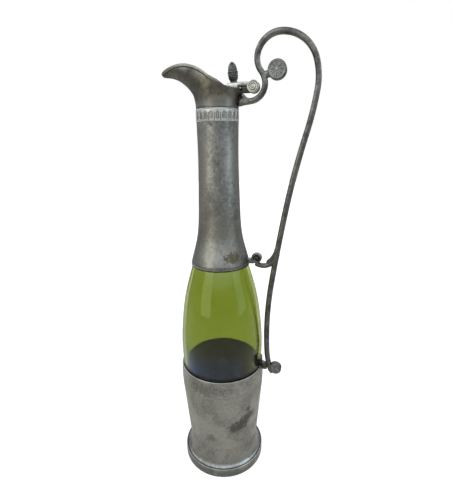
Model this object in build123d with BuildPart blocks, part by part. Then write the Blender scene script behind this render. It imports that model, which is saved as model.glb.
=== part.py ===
from build123d import *
import math
import os

# Lidded glass flagon with pewter mounts: a green glass bottle in a pewter base cup, a pewter
# sleeve on its neck, a beaked spout with a hinged lid, and a tall scroll handle.
# Millimetres, +Z up. The origin is the centre of the foot's underside. The spout points to -X,
# the handle stands at +X, and the lid's hinge runs along Y.

os.makedirs("parts", exist_ok=True)

# ---- Driving sizes -----------------------------------------------------------------------

# Clearances
solder_gap = 0.05           # film between curved faces that are soldered
plaster_gap = 0.2           # plaster to the glass and to the sleeve
pin_clearance = 0.05        # radial, hinge pin in its knuckles
side_clearance = 0.12       # along the pin, between knuckles
lid_clearance = 0.45        # lid's edge to the inside of the spout

# Foot and base cup
foot_radius = 39.3
foot_band_height = 9.3
foot_step_radius = foot_radius - 1.3
waist_radius = foot_radius - 5.4
waist_z = 28.0
foot_wall = 2.0
spigot_height = 5.0
disc_thickness = 2.0
cup_rim_radius = foot_radius - 0.3
cup_rim_z = 106.0
cup_shoulder_radius = cup_rim_radius - 0.3
cup_shoulder_z = 82.0
cup_wall = 1.2
groove_drop = 16.5          # incised line below the cup's rim
groove_depth = 0.3
groove_width = 0.8

# Glass bottle
plaster_top_z = 62.0
glass_wall = 2.6
glass_belly_radius = cup_rim_radius - 1.0
glass_belly_z = 126.0
glass_cup_gap = 0.25        # glass to cup wall
punt_height = 43.0
heel_radius = waist_radius - 2.4
mouth_wall = 2.2

# Neck sleeve and frieze
sleeve_bottom_z = 203.8
sleeve_wall = 0.9
neck_plaster = 1.5
neck_top_z = 333.0
neck_radius = 17.0
frieze_bottom_z = neck_top_z - 10.2
frieze_thickness = 0.65
frieze_gap = 0.4            # shadow line between the frieze and the spout
bead_height = 0.8
bead_proud = 0.2

# Spout
spout_size = neck_radius / 17.0     # the spout and the sleeve grow with the neck
spout_wall = 1.3
lid_drop = 0.9              # lid's top below the spout's rim
lid_thickness = 1.4

# Hinge and lid strap
hinge_x = 29.2 * spout_size
hinge_z = neck_top_z + 14.6 * spout_size
knuckle_radius = 4.1
lid_knuckle_width = 3.0
leaf_knuckle_width = 1.7
pin_radius = 1.2
hinge_cap_radius = 4.55
hinge_cap_thickness = 0.8
strap_width = 6.0
strap_thickness = 3.7

# Acorn thumbpiece
acorn_radius = 3.9
acorn_height = 15.2
acorn_lean = 6.0            # degrees towards the spout
acorn_x = hinge_x - 15.5

# Handle
bar_thickness = 4.5         # in the plane of the handle
bar_depth = 6.0             # along Y
bar_corner = 1.5
root_x = hinge_x - 3.2
root_drop = 10.1            # root of the bar below the hinge
upper_disc_radius = 7.05
upper_disc_thickness = 6.0
upper_disc_out = 21.0       # centre beyond the bar's root
upper_disc_rise = 20.7      # centre above the bar's root
lower_disc_radius = 5.55
lower_disc_thickness = 5.0
lower_disc_out = 12.7       # centre outside the cup's rim
lower_disc_drop = 2.6       # centre below the cup's rim
wrap_radius = 5.2           # bar's centre line where it curls under the lower disc
disc_rim = 1.1
disc_recess_depth = 0.5
roll_radius = 4.9
roll_out = 7.1              # roll's centre outside the sleeve's lower edge
roll_rise = 5.2             # roll's centre above the sleeve's rolled edge
branch_radius = 12.4
branch_thickness = 4.2
lug_width = 5.0
tongue_height = 10.0
tongue_thickness = 1.0
tongue_width = 8.0

# ---- Shared outlines ---------------------------------------------------------------------

# Outer profile of the sleeve, (radius, height), from its rolled edge to the frieze.
sleeve_edge_z = sleeve_bottom_z + 1.9
sleeve_length = frieze_bottom_z - sleeve_bottom_z
sleeve_shape = [(26.0, 0.016), (24.35, 0.069), (20.65, 0.184), (18.6, 0.304),
                (17.65, 0.479), (16.8, 0.699), (16.7, 0.87), (16.95, 1.0)]
sleeve_outline = [(r * spout_size, sleeve_bottom_z + share * sleeve_length)
                  for r, share in sleeve_shape]
sleeve_edge_radius = sleeve_outline[0][0]
collar_radius = neck_radius - frieze_thickness - solder_gap

# Spout sections. Each is an ellipse in a plane that turns about a line along Y, which lies
# level with the top of the neck and spout_reach in front of it: turn in degrees, distance of
# the ellipse's centre from that line beyond spout_reach, and its half sizes in and across the
# plane. These and the rim are the sizes at a spout_size of 1.
spout_reach = 48.0 * spout_size
spout_sections = [
    (0.0, 0.0, 17.0, 17.0), (6.0, 0.9, 17.9, 17.7), (11.0, 2.8, 19.8, 19.2),
    (18.0, 3.5, 20.5, 20.9), (25.0, 3.0, 20.7, 21.2), (31.0, 1.6, 20.0, 20.2),
    (42.0, -2.5, 17.1, 16.9), (54.0, -7.0, 13.6, 12.0), (68.0, -12.0, 9.9, 7.3),
    (78.0, -15.5, 7.1, 4.9), (83.0, -16.1, 6.0, 3.2), (86.0, -16.4, 4.0, 1.5),
]

# Side view of the spout's rim, (x, height above the top of the neck), from back to beak.
spout_rim = [(21.6, 13.4), (14.5, 13.2), (5.0, 17.4), (-6.0, 25.4),
             (-18.0, 30.7), (-30.0, 32.1), (-40.0, 30.2), (-47.0, 27.2)]


def rim_points(drop):
    """The spout's rim line, lowered by drop."""
    return [(x * spout_size, neck_top_z + rise * spout_size - drop) for x, rise in spout_rim]


def spout_solid(inset):
    """Closed spout form, with every section smaller by inset all round."""
    with BuildPart() as form:
        for turn, shift, tall, wide in spout_sections:
            if min(tall, wide) * spout_size - inset > 0.9:
                angle = math.radians(turn)
                out = spout_reach + shift * spout_size
                centre = (out * math.cos(angle) - spout_reach, 0, neck_top_z + out * math.sin(angle))
                across = (math.cos(angle), 0, math.sin(angle))
                normal = (-math.sin(angle), 0, math.cos(angle))
                with BuildSketch(Plane(origin=centre, x_dir=across, z_dir=normal)):
                    Ellipse(tall * spout_size - inset, wide * spout_size - inset)
        loft()
    return form.part


def above_rim(drop, width=120.0, height=60.0):
    """Everything above the spout's rim line lowered by drop."""
    points = rim_points(drop)
    top = neck_top_z + height
    with BuildPart() as region:
        with BuildSketch(Plane.XZ):
            with BuildLine():
                Spline(*points)
                Polyline(points[-1], (points[-1][0] - 20, points[-1][1]), (points[-1][0] - 20, top),
                         (points[0][0] + 40, top), (points[0][0] + 40, points[0][1]), points[0])
            make_face()
        extrude(amount=width / 2, both=True)
    return region.part


def bend_arcs(start, heading, bends):
    """Start, middle and end points of each bend of a bar made from (radius, turn) pairs."""
    x, z = start
    arcs = []
    for radius, turn in bends:
        side = math.copysign(1.0, turn)
        middle_x = x - side * radius * math.sin(heading)
        middle_z = z + side * radius * math.cos(heading)
        points = [(x, z)]
        for share in (0.5, 1.0):
            angle = heading + math.radians(turn) * share
            points.append((middle_x + side * radius * math.sin(angle),
                           middle_z - side * radius * math.cos(angle)))
        arcs.append(points)
        x, z = points[-1]
        heading += math.radians(turn)
    return arcs, heading


def tangent_arc(start, heading, end):
    """Start, middle and end of the arc that leaves start along heading and reaches end."""
    chord = (end[0] - start[0], end[1] - start[1])
    half_turn = math.remainder(math.atan2(chord[1], chord[0]) - heading, 2 * math.pi)
    bulge = math.tan(half_turn / 2) / 2
    middle = ((start[0] + end[0]) / 2 + chord[1] * bulge, (start[1] + end[1]) / 2 - chord[0] * bulge)
    return [start, middle, end], heading + 2 * half_turn


def joining_arcs(start, heading, end, end_heading):
    """The two tangent arcs that join two points with given headings."""
    first = (math.cos(heading), math.sin(heading))
    last = (math.cos(end_heading), math.sin(end_heading))
    gap = (end[0] - start[0], end[1] - start[1])
    along = gap[0] * (first[0] + last[0]) + gap[1] * (first[1] + last[1])
    spread = 2 * (1 - first[0] * last[0] - first[1] * last[1])
    reach = (math.sqrt(along ** 2 + spread * (gap[0] ** 2 + gap[1] ** 2)) - along) / spread
    joint = ((start[0] + end[0] + reach * (first[0] - last[0])) / 2,
             (start[1] + end[1] + reach * (first[1] - last[1])) / 2)
    one, mid_heading = tangent_arc(start, heading, joint)
    two, _ = tangent_arc(joint, mid_heading, end)
    return [one, two]


# ---- Foot, cup and plaster bed -----------------------------------------------------------

foot_inner = waist_radius - foot_wall + 0.3
disc_radius = foot_radius - foot_wall - 1.2

with BuildPart() as foot_ring:
    with BuildSketch(Plane.XZ):
        with BuildLine():
            Polyline((foot_step_radius, foot_band_height), (foot_radius - 0.6, foot_band_height),
                     (foot_radius, foot_band_height - 0.6), (foot_radius, 0.8),
                     (foot_radius - 0.8, 0), (disc_radius + solder_gap, 0),
                     (disc_radius + solder_gap, disc_thickness), (disc_radius - 1.5, disc_thickness),
                     (disc_radius - 1.5, foot_band_height - 2.5), (foot_inner, waist_z - 9),
                     (foot_inner, waist_z + spigot_height),
                     (waist_radius - cup_wall - solder_gap, waist_z + spigot_height),
                     (waist_radius - cup_wall - solder_gap, waist_z), (waist_radius, waist_z))
            Spline((waist_radius, waist_z), (waist_radius + 1.0, waist_z - 9.0),
                   (foot_step_radius, foot_band_height), tangents=[(0, -1), (0.8, -0.6)])
        make_face()
    revolve(axis=Axis.Z)
foot_ring.part.label = "foot_ring"
export_step(foot_ring.part, "parts/foot_ring.step")

with BuildPart() as base_disc:
    with BuildSketch():
        Circle(disc_radius)
    extrude(amount=disc_thickness)
base_disc.part.label = "base_disc"
export_step(base_disc.part, "parts/base_disc.step")

shoulder_slope = (cup_shoulder_radius - waist_radius, cup_shoulder_z - waist_z)

with BuildPart() as base_cup:
    with BuildSketch(Plane.XZ):
        with BuildLine():
            Line((waist_radius, waist_z), (cup_shoulder_radius, cup_shoulder_z))
            TangentArc((cup_shoulder_radius, cup_shoulder_z), (cup_rim_radius, cup_rim_z),
                       tangent=shoulder_slope)
            Line((cup_rim_radius, cup_rim_z), (cup_rim_radius - cup_wall, cup_rim_z))
            TangentArc((cup_shoulder_radius - cup_wall, cup_shoulder_z),
                       (cup_rim_radius - cup_wall, cup_rim_z), tangent=shoulder_slope)
            Line((cup_shoulder_radius - cup_wall, cup_shoulder_z), (waist_radius - cup_wall, waist_z))
            Line((waist_radius - cup_wall, waist_z), (waist_radius, waist_z))
        make_face()
    revolve(axis=Axis.Z)
    groove_z = cup_rim_z - groove_drop
    with BuildSketch(Plane.XZ):
        with BuildLine():
            Polyline((cup_rim_radius + 0.3 - groove_depth, groove_z),
                     (cup_rim_radius + 2, groove_z + 2 * groove_width),
                     (cup_rim_radius + 2, groove_z - 2 * groove_width), close=True)
        make_face()
    revolve(axis=Axis.Z, mode=Mode.SUBTRACT)
base_cup.part.label = "base_cup"
export_step(base_cup.part, "parts/base_cup.step")


def cup_inside(z):
    """Inner radius of the cup's straight wall at height z."""
    share = (z - waist_z) / (cup_shoulder_z - waist_z)
    return waist_radius + share * (cup_shoulder_radius - waist_radius) - cup_wall


bed_start = waist_z + spigot_height + 0.2
with BuildPart() as base_plaster:
    with BuildSketch(Plane.XZ):
        with BuildLine():
            Polyline((0, disc_thickness), (foot_inner - 1.0, disc_thickness),
                     (foot_inner - 1.0, bed_start),
                     (cup_inside(bed_start) - solder_gap, bed_start),
                     (cup_inside(plaster_top_z) - solder_gap, plaster_top_z),
                     (0, plaster_top_z), close=True)
        make_face()
    revolve(axis=Axis.Z)
base_plaster.part.label = "base_plaster"
export_step(base_plaster.part, "parts/base_plaster.step")

# ---- Glass bottle ------------------------------------------------------------------------

glass_rim_radius = cup_rim_radius - cup_wall - glass_cup_gap
neck_gap = sleeve_wall + neck_plaster
glass_mouth_z = neck_top_z - 5.0
shoulder_in = glass_belly_radius - (sleeve_edge_radius - sleeve_wall - 0.35)
shoulder_rise = sleeve_bottom_z - glass_belly_z
glass_sides = [
    (cup_inside(plaster_top_z + 7) - glass_cup_gap, plaster_top_z + 7),
    (cup_inside(cup_shoulder_z) - glass_cup_gap, cup_shoulder_z),
    (glass_rim_radius, cup_rim_z),
    (glass_belly_radius, glass_belly_z),
    (glass_belly_radius - 0.106 * shoulder_in, glass_belly_z + 0.296 * shoulder_rise),
    (glass_belly_radius - 0.356 * shoulder_in, glass_belly_z + 0.598 * shoulder_rise),
    (glass_belly_radius - shoulder_in, sleeve_bottom_z),
    (sleeve_outline[2][0] - neck_gap, sleeve_outline[2][1]),
    (sleeve_outline[3][0] - neck_gap, sleeve_outline[3][1]),
    (sleeve_outline[5][0] - neck_gap, sleeve_outline[5][1]),
    (collar_radius - neck_gap + 0.2, glass_mouth_z),
]
glass_inside = [(r - glass_wall, z) for r, z in glass_sides[:-1]]
glass_inside.append((glass_sides[-1][0] - mouth_wall, glass_mouth_z))

with BuildPart() as glass_bottle:
    with BuildSketch(Plane.XZ):
        with BuildLine():
            Spline(*glass_sides, tangents=[(0.1, 1), (0, 1)])
            Line(glass_sides[-1], glass_inside[-1])
            Spline(*glass_inside, tangents=[(0.1, 1), (0, 1)])
            Line(glass_inside[0], (heel_radius - 1.5, plaster_top_z + 0.8 + glass_wall))
            Spline((heel_radius - 1.5, plaster_top_z + 0.8 + glass_wall),
                   (11.0, plaster_top_z + 0.62 * punt_height),
                   (0, plaster_top_z + punt_height + glass_wall), tangents=[(-1, 0.25), (-1, 0)])
            Line((0, plaster_top_z + punt_height + glass_wall), (0, plaster_top_z + punt_height))
            Spline((heel_radius - 3.0, plaster_top_z), (11.0 - glass_wall, plaster_top_z + 0.58 * punt_height),
                   (0, plaster_top_z + punt_height), tangents=[(-1, 0.6), (-1, 0)])
            Line((heel_radius - 3.0, plaster_top_z), (heel_radius, plaster_top_z))
            Line((heel_radius, plaster_top_z), glass_sides[0])
        make_face()
    revolve(axis=Axis.Z)
glass_bottle.part.label = "glass_bottle"
export_step(glass_bottle.part, "parts/glass_bottle.step")

# ---- Neck sleeve, its plaster and the frieze ---------------------------------------------

sleeve_inside = [(r - sleeve_wall, z) for r, z in sleeve_outline]
with BuildPart() as neck_sleeve:
    with BuildSketch(Plane.XZ):
        with BuildLine():
            Spline(*sleeve_outline)
            Polyline(sleeve_outline[-1], (collar_radius, frieze_bottom_z), (collar_radius, neck_top_z),
                     (collar_radius - sleeve_wall, neck_top_z),
                     (collar_radius - sleeve_wall, frieze_bottom_z - 3), sleeve_inside[-2])
            Spline(*sleeve_inside[:-1])
            Polyline(sleeve_inside[0], (sleeve_edge_radius - sleeve_wall, sleeve_bottom_z),
                     (sleeve_edge_radius - 0.35, sleeve_bottom_z),
                     (sleeve_edge_radius, sleeve_bottom_z + 0.5), sleeve_outline[0])
        make_face()
    revolve(axis=Axis.Z)
neck_sleeve.part.label = "neck_sleeve"
export_step(neck_sleeve.part, "parts/neck_sleeve.step")

plaster_outside = [(r - plaster_gap, z) for r, z in sleeve_inside[:-1]]
plaster_low_z = sleeve_outline[2][1]
plaster_high_z = sleeve_outline[6][1]
with BuildPart() as neck_plaster_layer:
    with BuildSketch(Plane.XZ):
        with BuildLine():
            Spline(*plaster_outside)
            Polyline(plaster_outside[-1], (0, plaster_outside[-1][1]), (0, plaster_outside[0][1]),
                     plaster_outside[0])
        make_face()
    revolve(axis=Axis.Z)
    with BuildSketch(Plane.XY.offset(plaster_low_z)):
        Circle(foot_radius)
    extrude(amount=plaster_high_z - plaster_low_z, mode=Mode.INTERSECT)
    with BuildSketch(Plane.XZ):
        with BuildLine():
            Spline(*[(r + plaster_gap, z) for r, z in glass_sides], tangents=[(0.1, 1), (0, 1)])
            Polyline((glass_sides[-1][0] + plaster_gap, glass_mouth_z), (0, glass_mouth_z),
                     (0, glass_sides[0][1]), (glass_sides[0][0] + plaster_gap, glass_sides[0][1]))
        make_face()
    revolve(axis=Axis.Z, mode=Mode.SUBTRACT)
neck_plaster_layer.part.label = "neck_plaster"
export_step(neck_plaster_layer.part, "parts/neck_plaster.step")

band_inner = collar_radius + solder_gap
band_outer = band_inner + frieze_thickness
band_top_z = neck_top_z - frieze_gap
with BuildPart() as frieze_band:
    with BuildSketch(Plane.XZ):
        with BuildLine():
            Polyline((band_inner, frieze_bottom_z), (band_outer + bead_proud, frieze_bottom_z),
                     (band_outer + bead_proud, frieze_bottom_z + bead_height),
                     (band_outer, frieze_bottom_z + bead_height), (band_outer, band_top_z - bead_height),
                     (band_outer + bead_proud, band_top_z - bead_height),
                     (band_outer + bead_proud, band_top_z), (band_inner, band_top_z), close=True)
        make_face()
    revolve(axis=Axis.Z)
frieze_band.part.label = "frieze_band"
export_step(frieze_band.part, "parts/frieze_band.step")

# ---- Spout and lid -----------------------------------------------------------------------

spout_outside = spout_solid(0)
with BuildPart() as spout:
    add(spout_outside)
    add(spout_solid(spout_wall), mode=Mode.SUBTRACT)
    add(above_rim(0), mode=Mode.SUBTRACT)
spout.part.label = "spout"
export_step(spout.part, "parts/spout.step")

with BuildPart() as lid_plate:
    add(spout_solid(spout_wall + lid_clearance))
    add(above_rim(lid_drop), mode=Mode.SUBTRACT)
    add(above_rim(lid_drop + lid_thickness), mode=Mode.INTERSECT)
lid_plate.part.label = "lid_plate"
export_step(lid_plate.part, "parts/lid_plate.step")

# ---- Hinge -------------------------------------------------------------------------------

hinge_centre = (hinge_x, hinge_z)
barrel_half = lid_knuckle_width / 2 + side_clearance + leaf_knuckle_width
rear_cutter = spout_outside.moved(Location((solder_gap, 0, 0)))

with BuildPart() as hinge_leaf:
    with BuildSketch(Plane.XZ):
        with Locations(hinge_centre):
            Circle(knuckle_radius)
        with BuildLine():
            Polyline((neck_radius + 1.0, hinge_z - 3.6), (neck_radius + 1.0, hinge_z - 1.7),
                     (hinge_x, hinge_z - 1.4), (hinge_x, hinge_z - 3.8), close=True)
        make_face()
    extrude(amount=barrel_half, both=True)
    with BuildSketch(Plane.XZ):
        with Locations(hinge_centre):
            Circle(knuckle_radius + 0.25)
    extrude(amount=lid_knuckle_width / 2 + side_clearance, both=True, mode=Mode.SUBTRACT)
    with BuildSketch(Plane.XZ):
        with Locations(hinge_centre):
            Circle(pin_radius + pin_clearance)
    extrude(amount=barrel_half, both=True, mode=Mode.SUBTRACT)
    add(rear_cutter, mode=Mode.SUBTRACT)
hinge_leaf.part.label = "hinge_leaf"
export_step(hinge_leaf.part, "parts/hinge_leaf.step")

with BuildPart() as hinge_pin:
    with BuildSketch(Plane.XZ):
        with Locations(hinge_centre):
            Circle(pin_radius)
    extrude(amount=barrel_half, both=True)
hinge_pin.part.label = "hinge_pin"
export_step(hinge_pin.part, "parts/hinge_pin.step")

for cap_name, cap_side in (("hinge_cap_near", 1), ("hinge_cap_far", -1)):
    with BuildPart() as hinge_cap:
        with BuildSketch(Plane.XZ.offset(cap_side * barrel_half)):
            with Locations(hinge_centre):
                Circle(hinge_cap_radius)
        extrude(amount=cap_side * hinge_cap_thickness)
        outer_face = hinge_cap.faces().sort_by(Axis.Y)[0 if cap_side > 0 else -1]
        chamfer(outer_face.edges(), 0.3)
    hinge_cap.part.label = cap_name
    export_step(hinge_cap.part, f"parts/{cap_name}.step")

# ---- Lid strap and acorn -----------------------------------------------------------------

strap_top_z = hinge_z + 3.9
strap_low_z = strap_top_z - strap_thickness
strap_nose_x = acorn_x - 8.5
with BuildPart() as lid_strap:
    with BuildSketch(Plane.XZ):
        with BuildLine():
            Polyline((hinge_x - 1.0, strap_low_z), (hinge_x - 1.0, strap_top_z - 0.2),
                     (acorn_x + 3.6, strap_top_z), (acorn_x - 3.6, strap_top_z - 0.4),
                     (strap_nose_x, strap_top_z - 1.6), (strap_nose_x, hinge_z - 4.0),
                     (acorn_x + 2.4, hinge_z - 4.0), (acorn_x + 4.0, strap_low_z), close=True)
        make_face()
    extrude(amount=strap_width / 2, both=True)
    add(above_rim(lid_drop - solder_gap), mode=Mode.INTERSECT)
    with BuildSketch(Plane.XZ):
        with Locations(hinge_centre):
            Circle(knuckle_radius + 0.25)
    extrude(amount=strap_width, both=True, mode=Mode.SUBTRACT)
    with BuildSketch(Plane.XZ):
        with Locations(hinge_centre):
            Circle(knuckle_radius)
        with BuildLine():
            Polyline((hinge_x - knuckle_radius - 1.2, strap_low_z),
                     (hinge_x - knuckle_radius - 1.2, strap_top_z - 0.1),
                     (hinge_x, strap_top_z - 0.2), (hinge_x - 1.5, strap_low_z), close=True)
        make_face()
    extrude(amount=lid_knuckle_width / 2, both=True)
    with BuildSketch(Plane.XZ):
        with Locations(hinge_centre):
            Circle(pin_radius + pin_clearance)
    extrude(amount=lid_knuckle_width, both=True, mode=Mode.SUBTRACT)
lid_strap.part.label = "lid_strap"
export_step(lid_strap.part, "parts/lid_strap.step")

acorn_base_z = strap_top_z - 0.45
with BuildPart() as acorn_thumbpiece:
    with BuildSketch(Plane.XZ):
        with BuildLine():
            Polyline((0, -1.0), (2.4, -1.0), (2.4, 0.6))
            Spline((2.4, 0.6), (acorn_radius - 0.3, 0.3 * acorn_height), (acorn_radius, 0.48 * acorn_height))
            Polyline((acorn_radius, 0.48 * acorn_height), (acorn_radius + 0.2, 0.5 * acorn_height),
                     (acorn_radius - 0.15, 0.53 * acorn_height))
            Spline((acorn_radius - 0.15, 0.53 * acorn_height), (0.72 * acorn_radius, 0.83 * acorn_height),
                   (0, acorn_height), tangents=[(0, 1), (-1, 0.25)])
            Line((0, acorn_height), (0, -1.0))
        make_face()
    revolve(axis=Axis.Z)
acorn_place = Location((acorn_x, 0, acorn_base_z), (0, -acorn_lean, 0))
acorn_thumbpiece.part.locate(acorn_place)
with BuildPart() as seated_acorn:
    add(acorn_thumbpiece.part)
    add(lid_strap.part, mode=Mode.SUBTRACT)
seated_acorn.part.label = "acorn_thumbpiece"
export_step(seated_acorn.part, "parts/acorn_thumbpiece.step")

# ---- Handle bar --------------------------------------------------------------------------

lower_disc_x = cup_rim_radius + lower_disc_out
lower_disc_z = cup_rim_z - lower_disc_drop
loop_bends = [(12.0, 100.2), (14.5, 27.8), (15.0, -62.9), (17.0, -64.5), (27.5, -74.0),
              (48.0, -24.4), (222.0, -7.9)]
wrap_angle = math.radians(235.0)
foot_bends = [(wrap_radius, -38.0), (80.0, -13.8), (346.0, -11.1)]
foot_start = (lower_disc_x + wrap_radius * math.cos(wrap_angle),
              lower_disc_z + wrap_radius * math.sin(wrap_angle))
foot_heading = wrap_angle - math.pi / 2

loop_arcs, loop_heading = bend_arcs((root_x, hinge_z - root_drop), 0.0, loop_bends)
foot_arcs, foot_end_heading = bend_arcs(foot_start, foot_heading, foot_bends)
long_arcs = joining_arcs(loop_arcs[-1][-1], loop_heading, foot_arcs[-1][-1],
                         foot_end_heading + math.pi)

with BuildPart() as handle_bar:
    with BuildLine(Plane.XZ) as bar_route:
        for first, middle, last in loop_arcs + long_arcs:
            ThreePointArc(first, middle, last)
        for first, middle, last in reversed(foot_arcs):
            ThreePointArc(last, middle, first)
    with BuildSketch(Plane.YZ.offset(root_x)):
        with Locations((0, hinge_z - root_drop)):
            RectangleRounded(bar_depth, bar_thickness, bar_corner)
    sweep(path=bar_route.line)
    with BuildSketch(Plane.XZ):
        with Locations((lower_disc_x, lower_disc_z)):
            Circle(lower_disc_radius + solder_gap)
    extrude(amount=bar_depth, both=True, mode=Mode.SUBTRACT)
handle_bar.part.label = "handle_bar"
export_step(handle_bar.part, "parts/handle_bar.step")

# ---- Handle's root bracket ---------------------------------------------------------------

root_z = hinge_z - root_drop
with BuildPart() as handle_root:
    with BuildSketch(Plane.XZ):
        with BuildLine():
            Polyline((root_x, root_z - bar_thickness / 2), (root_x, root_z + bar_thickness / 2),
                     (root_x - 2.5, root_z + 3.0), (root_x - 4.0, root_z + 5.4),
                     (neck_radius - 1.0, root_z + 5.6), (neck_radius - 1.0, root_z - 3.6),
                     (neck_radius + 1.5, root_z - 3.3), (neck_radius + 4.5, root_z - 2.6), close=True)
        make_face()
    extrude(amount=bar_depth / 2, both=True)
    add(rear_cutter, mode=Mode.SUBTRACT)
handle_root.part.label = "handle_root"
export_step(handle_root.part, "parts/handle_root.step")

# ---- Discs, roll and lugs on the handle --------------------------------------------------


def disc_body(centre, radius, thickness):
    """Round disc across the handle's plane with a raised rim on both faces."""
    with BuildPart() as disc:
        with BuildSketch(Plane.XZ):
            with Locations(centre):
                Circle(radius)
        extrude(amount=thickness / 2, both=True)
        chamfer(disc.edges().filter_by(GeomType.CIRCLE), 0.4)
        for side in (1, -1):
            with BuildSketch(Plane.XZ.offset(side * thickness / 2)):
                with Locations(centre):
                    Circle(radius - disc_rim)
            extrude(amount=-side * disc_recess_depth, mode=Mode.SUBTRACT)
    return disc.part


bar_from_right = handle_bar.part.moved(Location((solder_gap, 0, 0)))
bar_from_left = handle_bar.part.moved(Location((-solder_gap, 0, 0)))
upper_disc_x = root_x + upper_disc_out
upper_disc_z = hinge_z - root_drop + upper_disc_rise

with BuildPart() as upper_rosette:
    add(disc_body((upper_disc_x, upper_disc_z), upper_disc_radius, upper_disc_thickness))
    with BuildSketch(Plane.XZ):
        with BuildLine():
            Polyline((upper_disc_x - 10.2, upper_disc_z - 5.6), (upper_disc_x - 11.2, upper_disc_z - 1.4),
                     (upper_disc_x - 6.2, upper_disc_z + 0.2), (upper_disc_x - 4.6, upper_disc_z - 4.4),
                     close=True)
        make_face()
    extrude(amount=bar_depth / 2 - 0.5, both=True)
    add(bar_from_right, mode=Mode.SUBTRACT)
upper_rosette.part.label = "upper_rosette"
export_step(upper_rosette.part, "parts/upper_rosette.step")

with BuildPart() as lower_rosette:
    add(disc_body((lower_disc_x, lower_disc_z), lower_disc_radius, lower_disc_thickness))
lower_rosette.part.label = "lower_rosette"
export_step(lower_rosette.part, "parts/lower_rosette.step")

roll_x = sleeve_edge_radius + roll_out
roll_z = sleeve_edge_z + roll_rise
branch_centre = (roll_x + 5.1, roll_z + 5.8)


def on_branch(angle):
    """Point of the branch's centre line at an angle in degrees."""
    return (branch_centre[0] + branch_radius * math.cos(math.radians(angle)),
            branch_centre[1] + branch_radius * math.sin(math.radians(angle)))


web_low = (branch_centre[0] + 3.1, branch_centre[1] - 8.0)
web_middle = (branch_centre[0] + 7.0, branch_centre[1] - 3.4)
web_high = (branch_centre[0] + 10.4, branch_centre[1] + 5.0)

with BuildPart() as scroll_branch:
    with BuildLine(Plane.XZ) as branch_route:
        ThreePointArc(on_branch(-90), on_branch(-50), on_branch(-8))
    with BuildSketch(Plane.YZ.offset(on_branch(-90)[0])):
        with Locations((0, on_branch(-90)[1])):
            RectangleRounded(bar_depth - 0.6, branch_thickness, 1.2)
    sweep(path=branch_route.line)
    with BuildLine(Plane.XZ) as curl_route:
        ThreePointArc(on_branch(-90), on_branch(-108), on_branch(-126))
    with BuildSketch(Plane.YZ.offset(on_branch(-90)[0])):
        with Locations((0, on_branch(-90)[1])):
            RectangleRounded(bar_depth - 0.6, branch_thickness, 1.2)
    sweep(path=curl_route.line)
    with BuildSketch(Plane.XZ):
        with BuildLine():
            ThreePointArc(web_low, web_middle, web_high)
            Polyline(web_high, (web_high[0] + 3, web_high[1]), (web_high[0] - 1, web_low[1] - 2),
                     (web_low[0] + 1, web_low[1] - 2), web_low)
        make_face()
    extrude(amount=bar_depth / 2 - 0.3, both=True)
    with BuildSketch(Plane.XZ):
        with Locations((roll_x, roll_z)):
            Circle(roll_radius)
    extrude(amount=bar_depth / 2, both=True)
    add(bar_from_left, mode=Mode.SUBTRACT)
    solids = scroll_branch.part.solids().sort_by(SortBy.VOLUME)
scroll_branch_body = solids[-1]
scroll_branch_body.label = "scroll_branch"
export_step(scroll_branch_body, "parts/scroll_branch.step")

with BuildPart() as scroll_lug:
    with BuildSketch(Plane.XZ):
        with BuildLine():
            Polyline((sleeve_edge_radius - 3, sleeve_edge_z + 0.4), (roll_x, sleeve_edge_z + 0.4),
                     (roll_x, sleeve_edge_z + 4.6), (sleeve_edge_radius - 3, sleeve_edge_z + 4.6), close=True)
        make_face()
    extrude(amount=lug_width / 2, both=True)
    with BuildSketch(Plane.XZ):
        with Locations((roll_x, roll_z)):
            Circle(roll_radius + solder_gap)
    extrude(amount=lug_width, both=True, mode=Mode.SUBTRACT)
    with BuildSketch(Plane.XZ):
        with BuildLine():
            Spline(*[(r + solder_gap, z) for r, z in sleeve_outline])
            Polyline((sleeve_outline[-1][0] + solder_gap, sleeve_outline[-1][1]), (0, frieze_bottom_z),
                     (0, sleeve_bottom_z), (sleeve_edge_radius + solder_gap, sleeve_bottom_z),
                     (sleeve_edge_radius + solder_gap, sleeve_outline[0][1]))
        make_face()
    revolve(axis=Axis.Z, mode=Mode.SUBTRACT)
    add(scroll_branch_body.moved(Location((-solder_gap, 0, 0))), mode=Mode.SUBTRACT)
scroll_lug_body = scroll_lug.part.solids().sort_by(SortBy.VOLUME)[-1]
scroll_lug_body.label = "scroll_lug"
export_step(scroll_lug_body, "parts/scroll_lug.step")

# ---- Rim lug with its pointed tongue -----------------------------------------------------

tongue_inner = glass_belly_radius + 0.25
with BuildPart() as rim_lug:
    with BuildSketch(Plane.XY.offset(cup_rim_z + solder_gap)):
        Circle(tongue_inner + tongue_thickness)
        Circle(tongue_inner, mode=Mode.SUBTRACT)
    extrude(amount=tongue_height)
    with BuildSketch(Plane.YZ):
        with BuildLine():
            Line((-tongue_width / 2, cup_rim_z), (tongue_width / 2, cup_rim_z))
            Spline((tongue_width / 2, cup_rim_z), (tongue_width / 2 - 0.6, cup_rim_z + 4.5),
                   (0, cup_rim_z + tongue_height))
            Spline((0, cup_rim_z + tongue_height), (-tongue_width / 2 + 0.6, cup_rim_z + 4.5),
                   (-tongue_width / 2, cup_rim_z))
        make_face()
    extrude(amount=cup_rim_radius + 10, mode=Mode.INTERSECT)
    with BuildSketch(Plane.XZ):
        with BuildLine():
            Polyline((tongue_inner + 0.3, cup_rim_z + solder_gap), (tongue_inner + 0.3, cup_rim_z + 2.4),
                     (cup_rim_radius + 5, cup_rim_z + 1.4), (cup_rim_radius + 5, cup_rim_z - 4.8),
                     (cup_rim_radius + 0.4, cup_rim_z - 4.8), (cup_rim_radius + 0.4, cup_rim_z + solder_gap),
                     close=True)
        make_face()
    extrude(amount=lug_width / 2, both=True)
    add(bar_from_left, mode=Mode.SUBTRACT)
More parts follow.
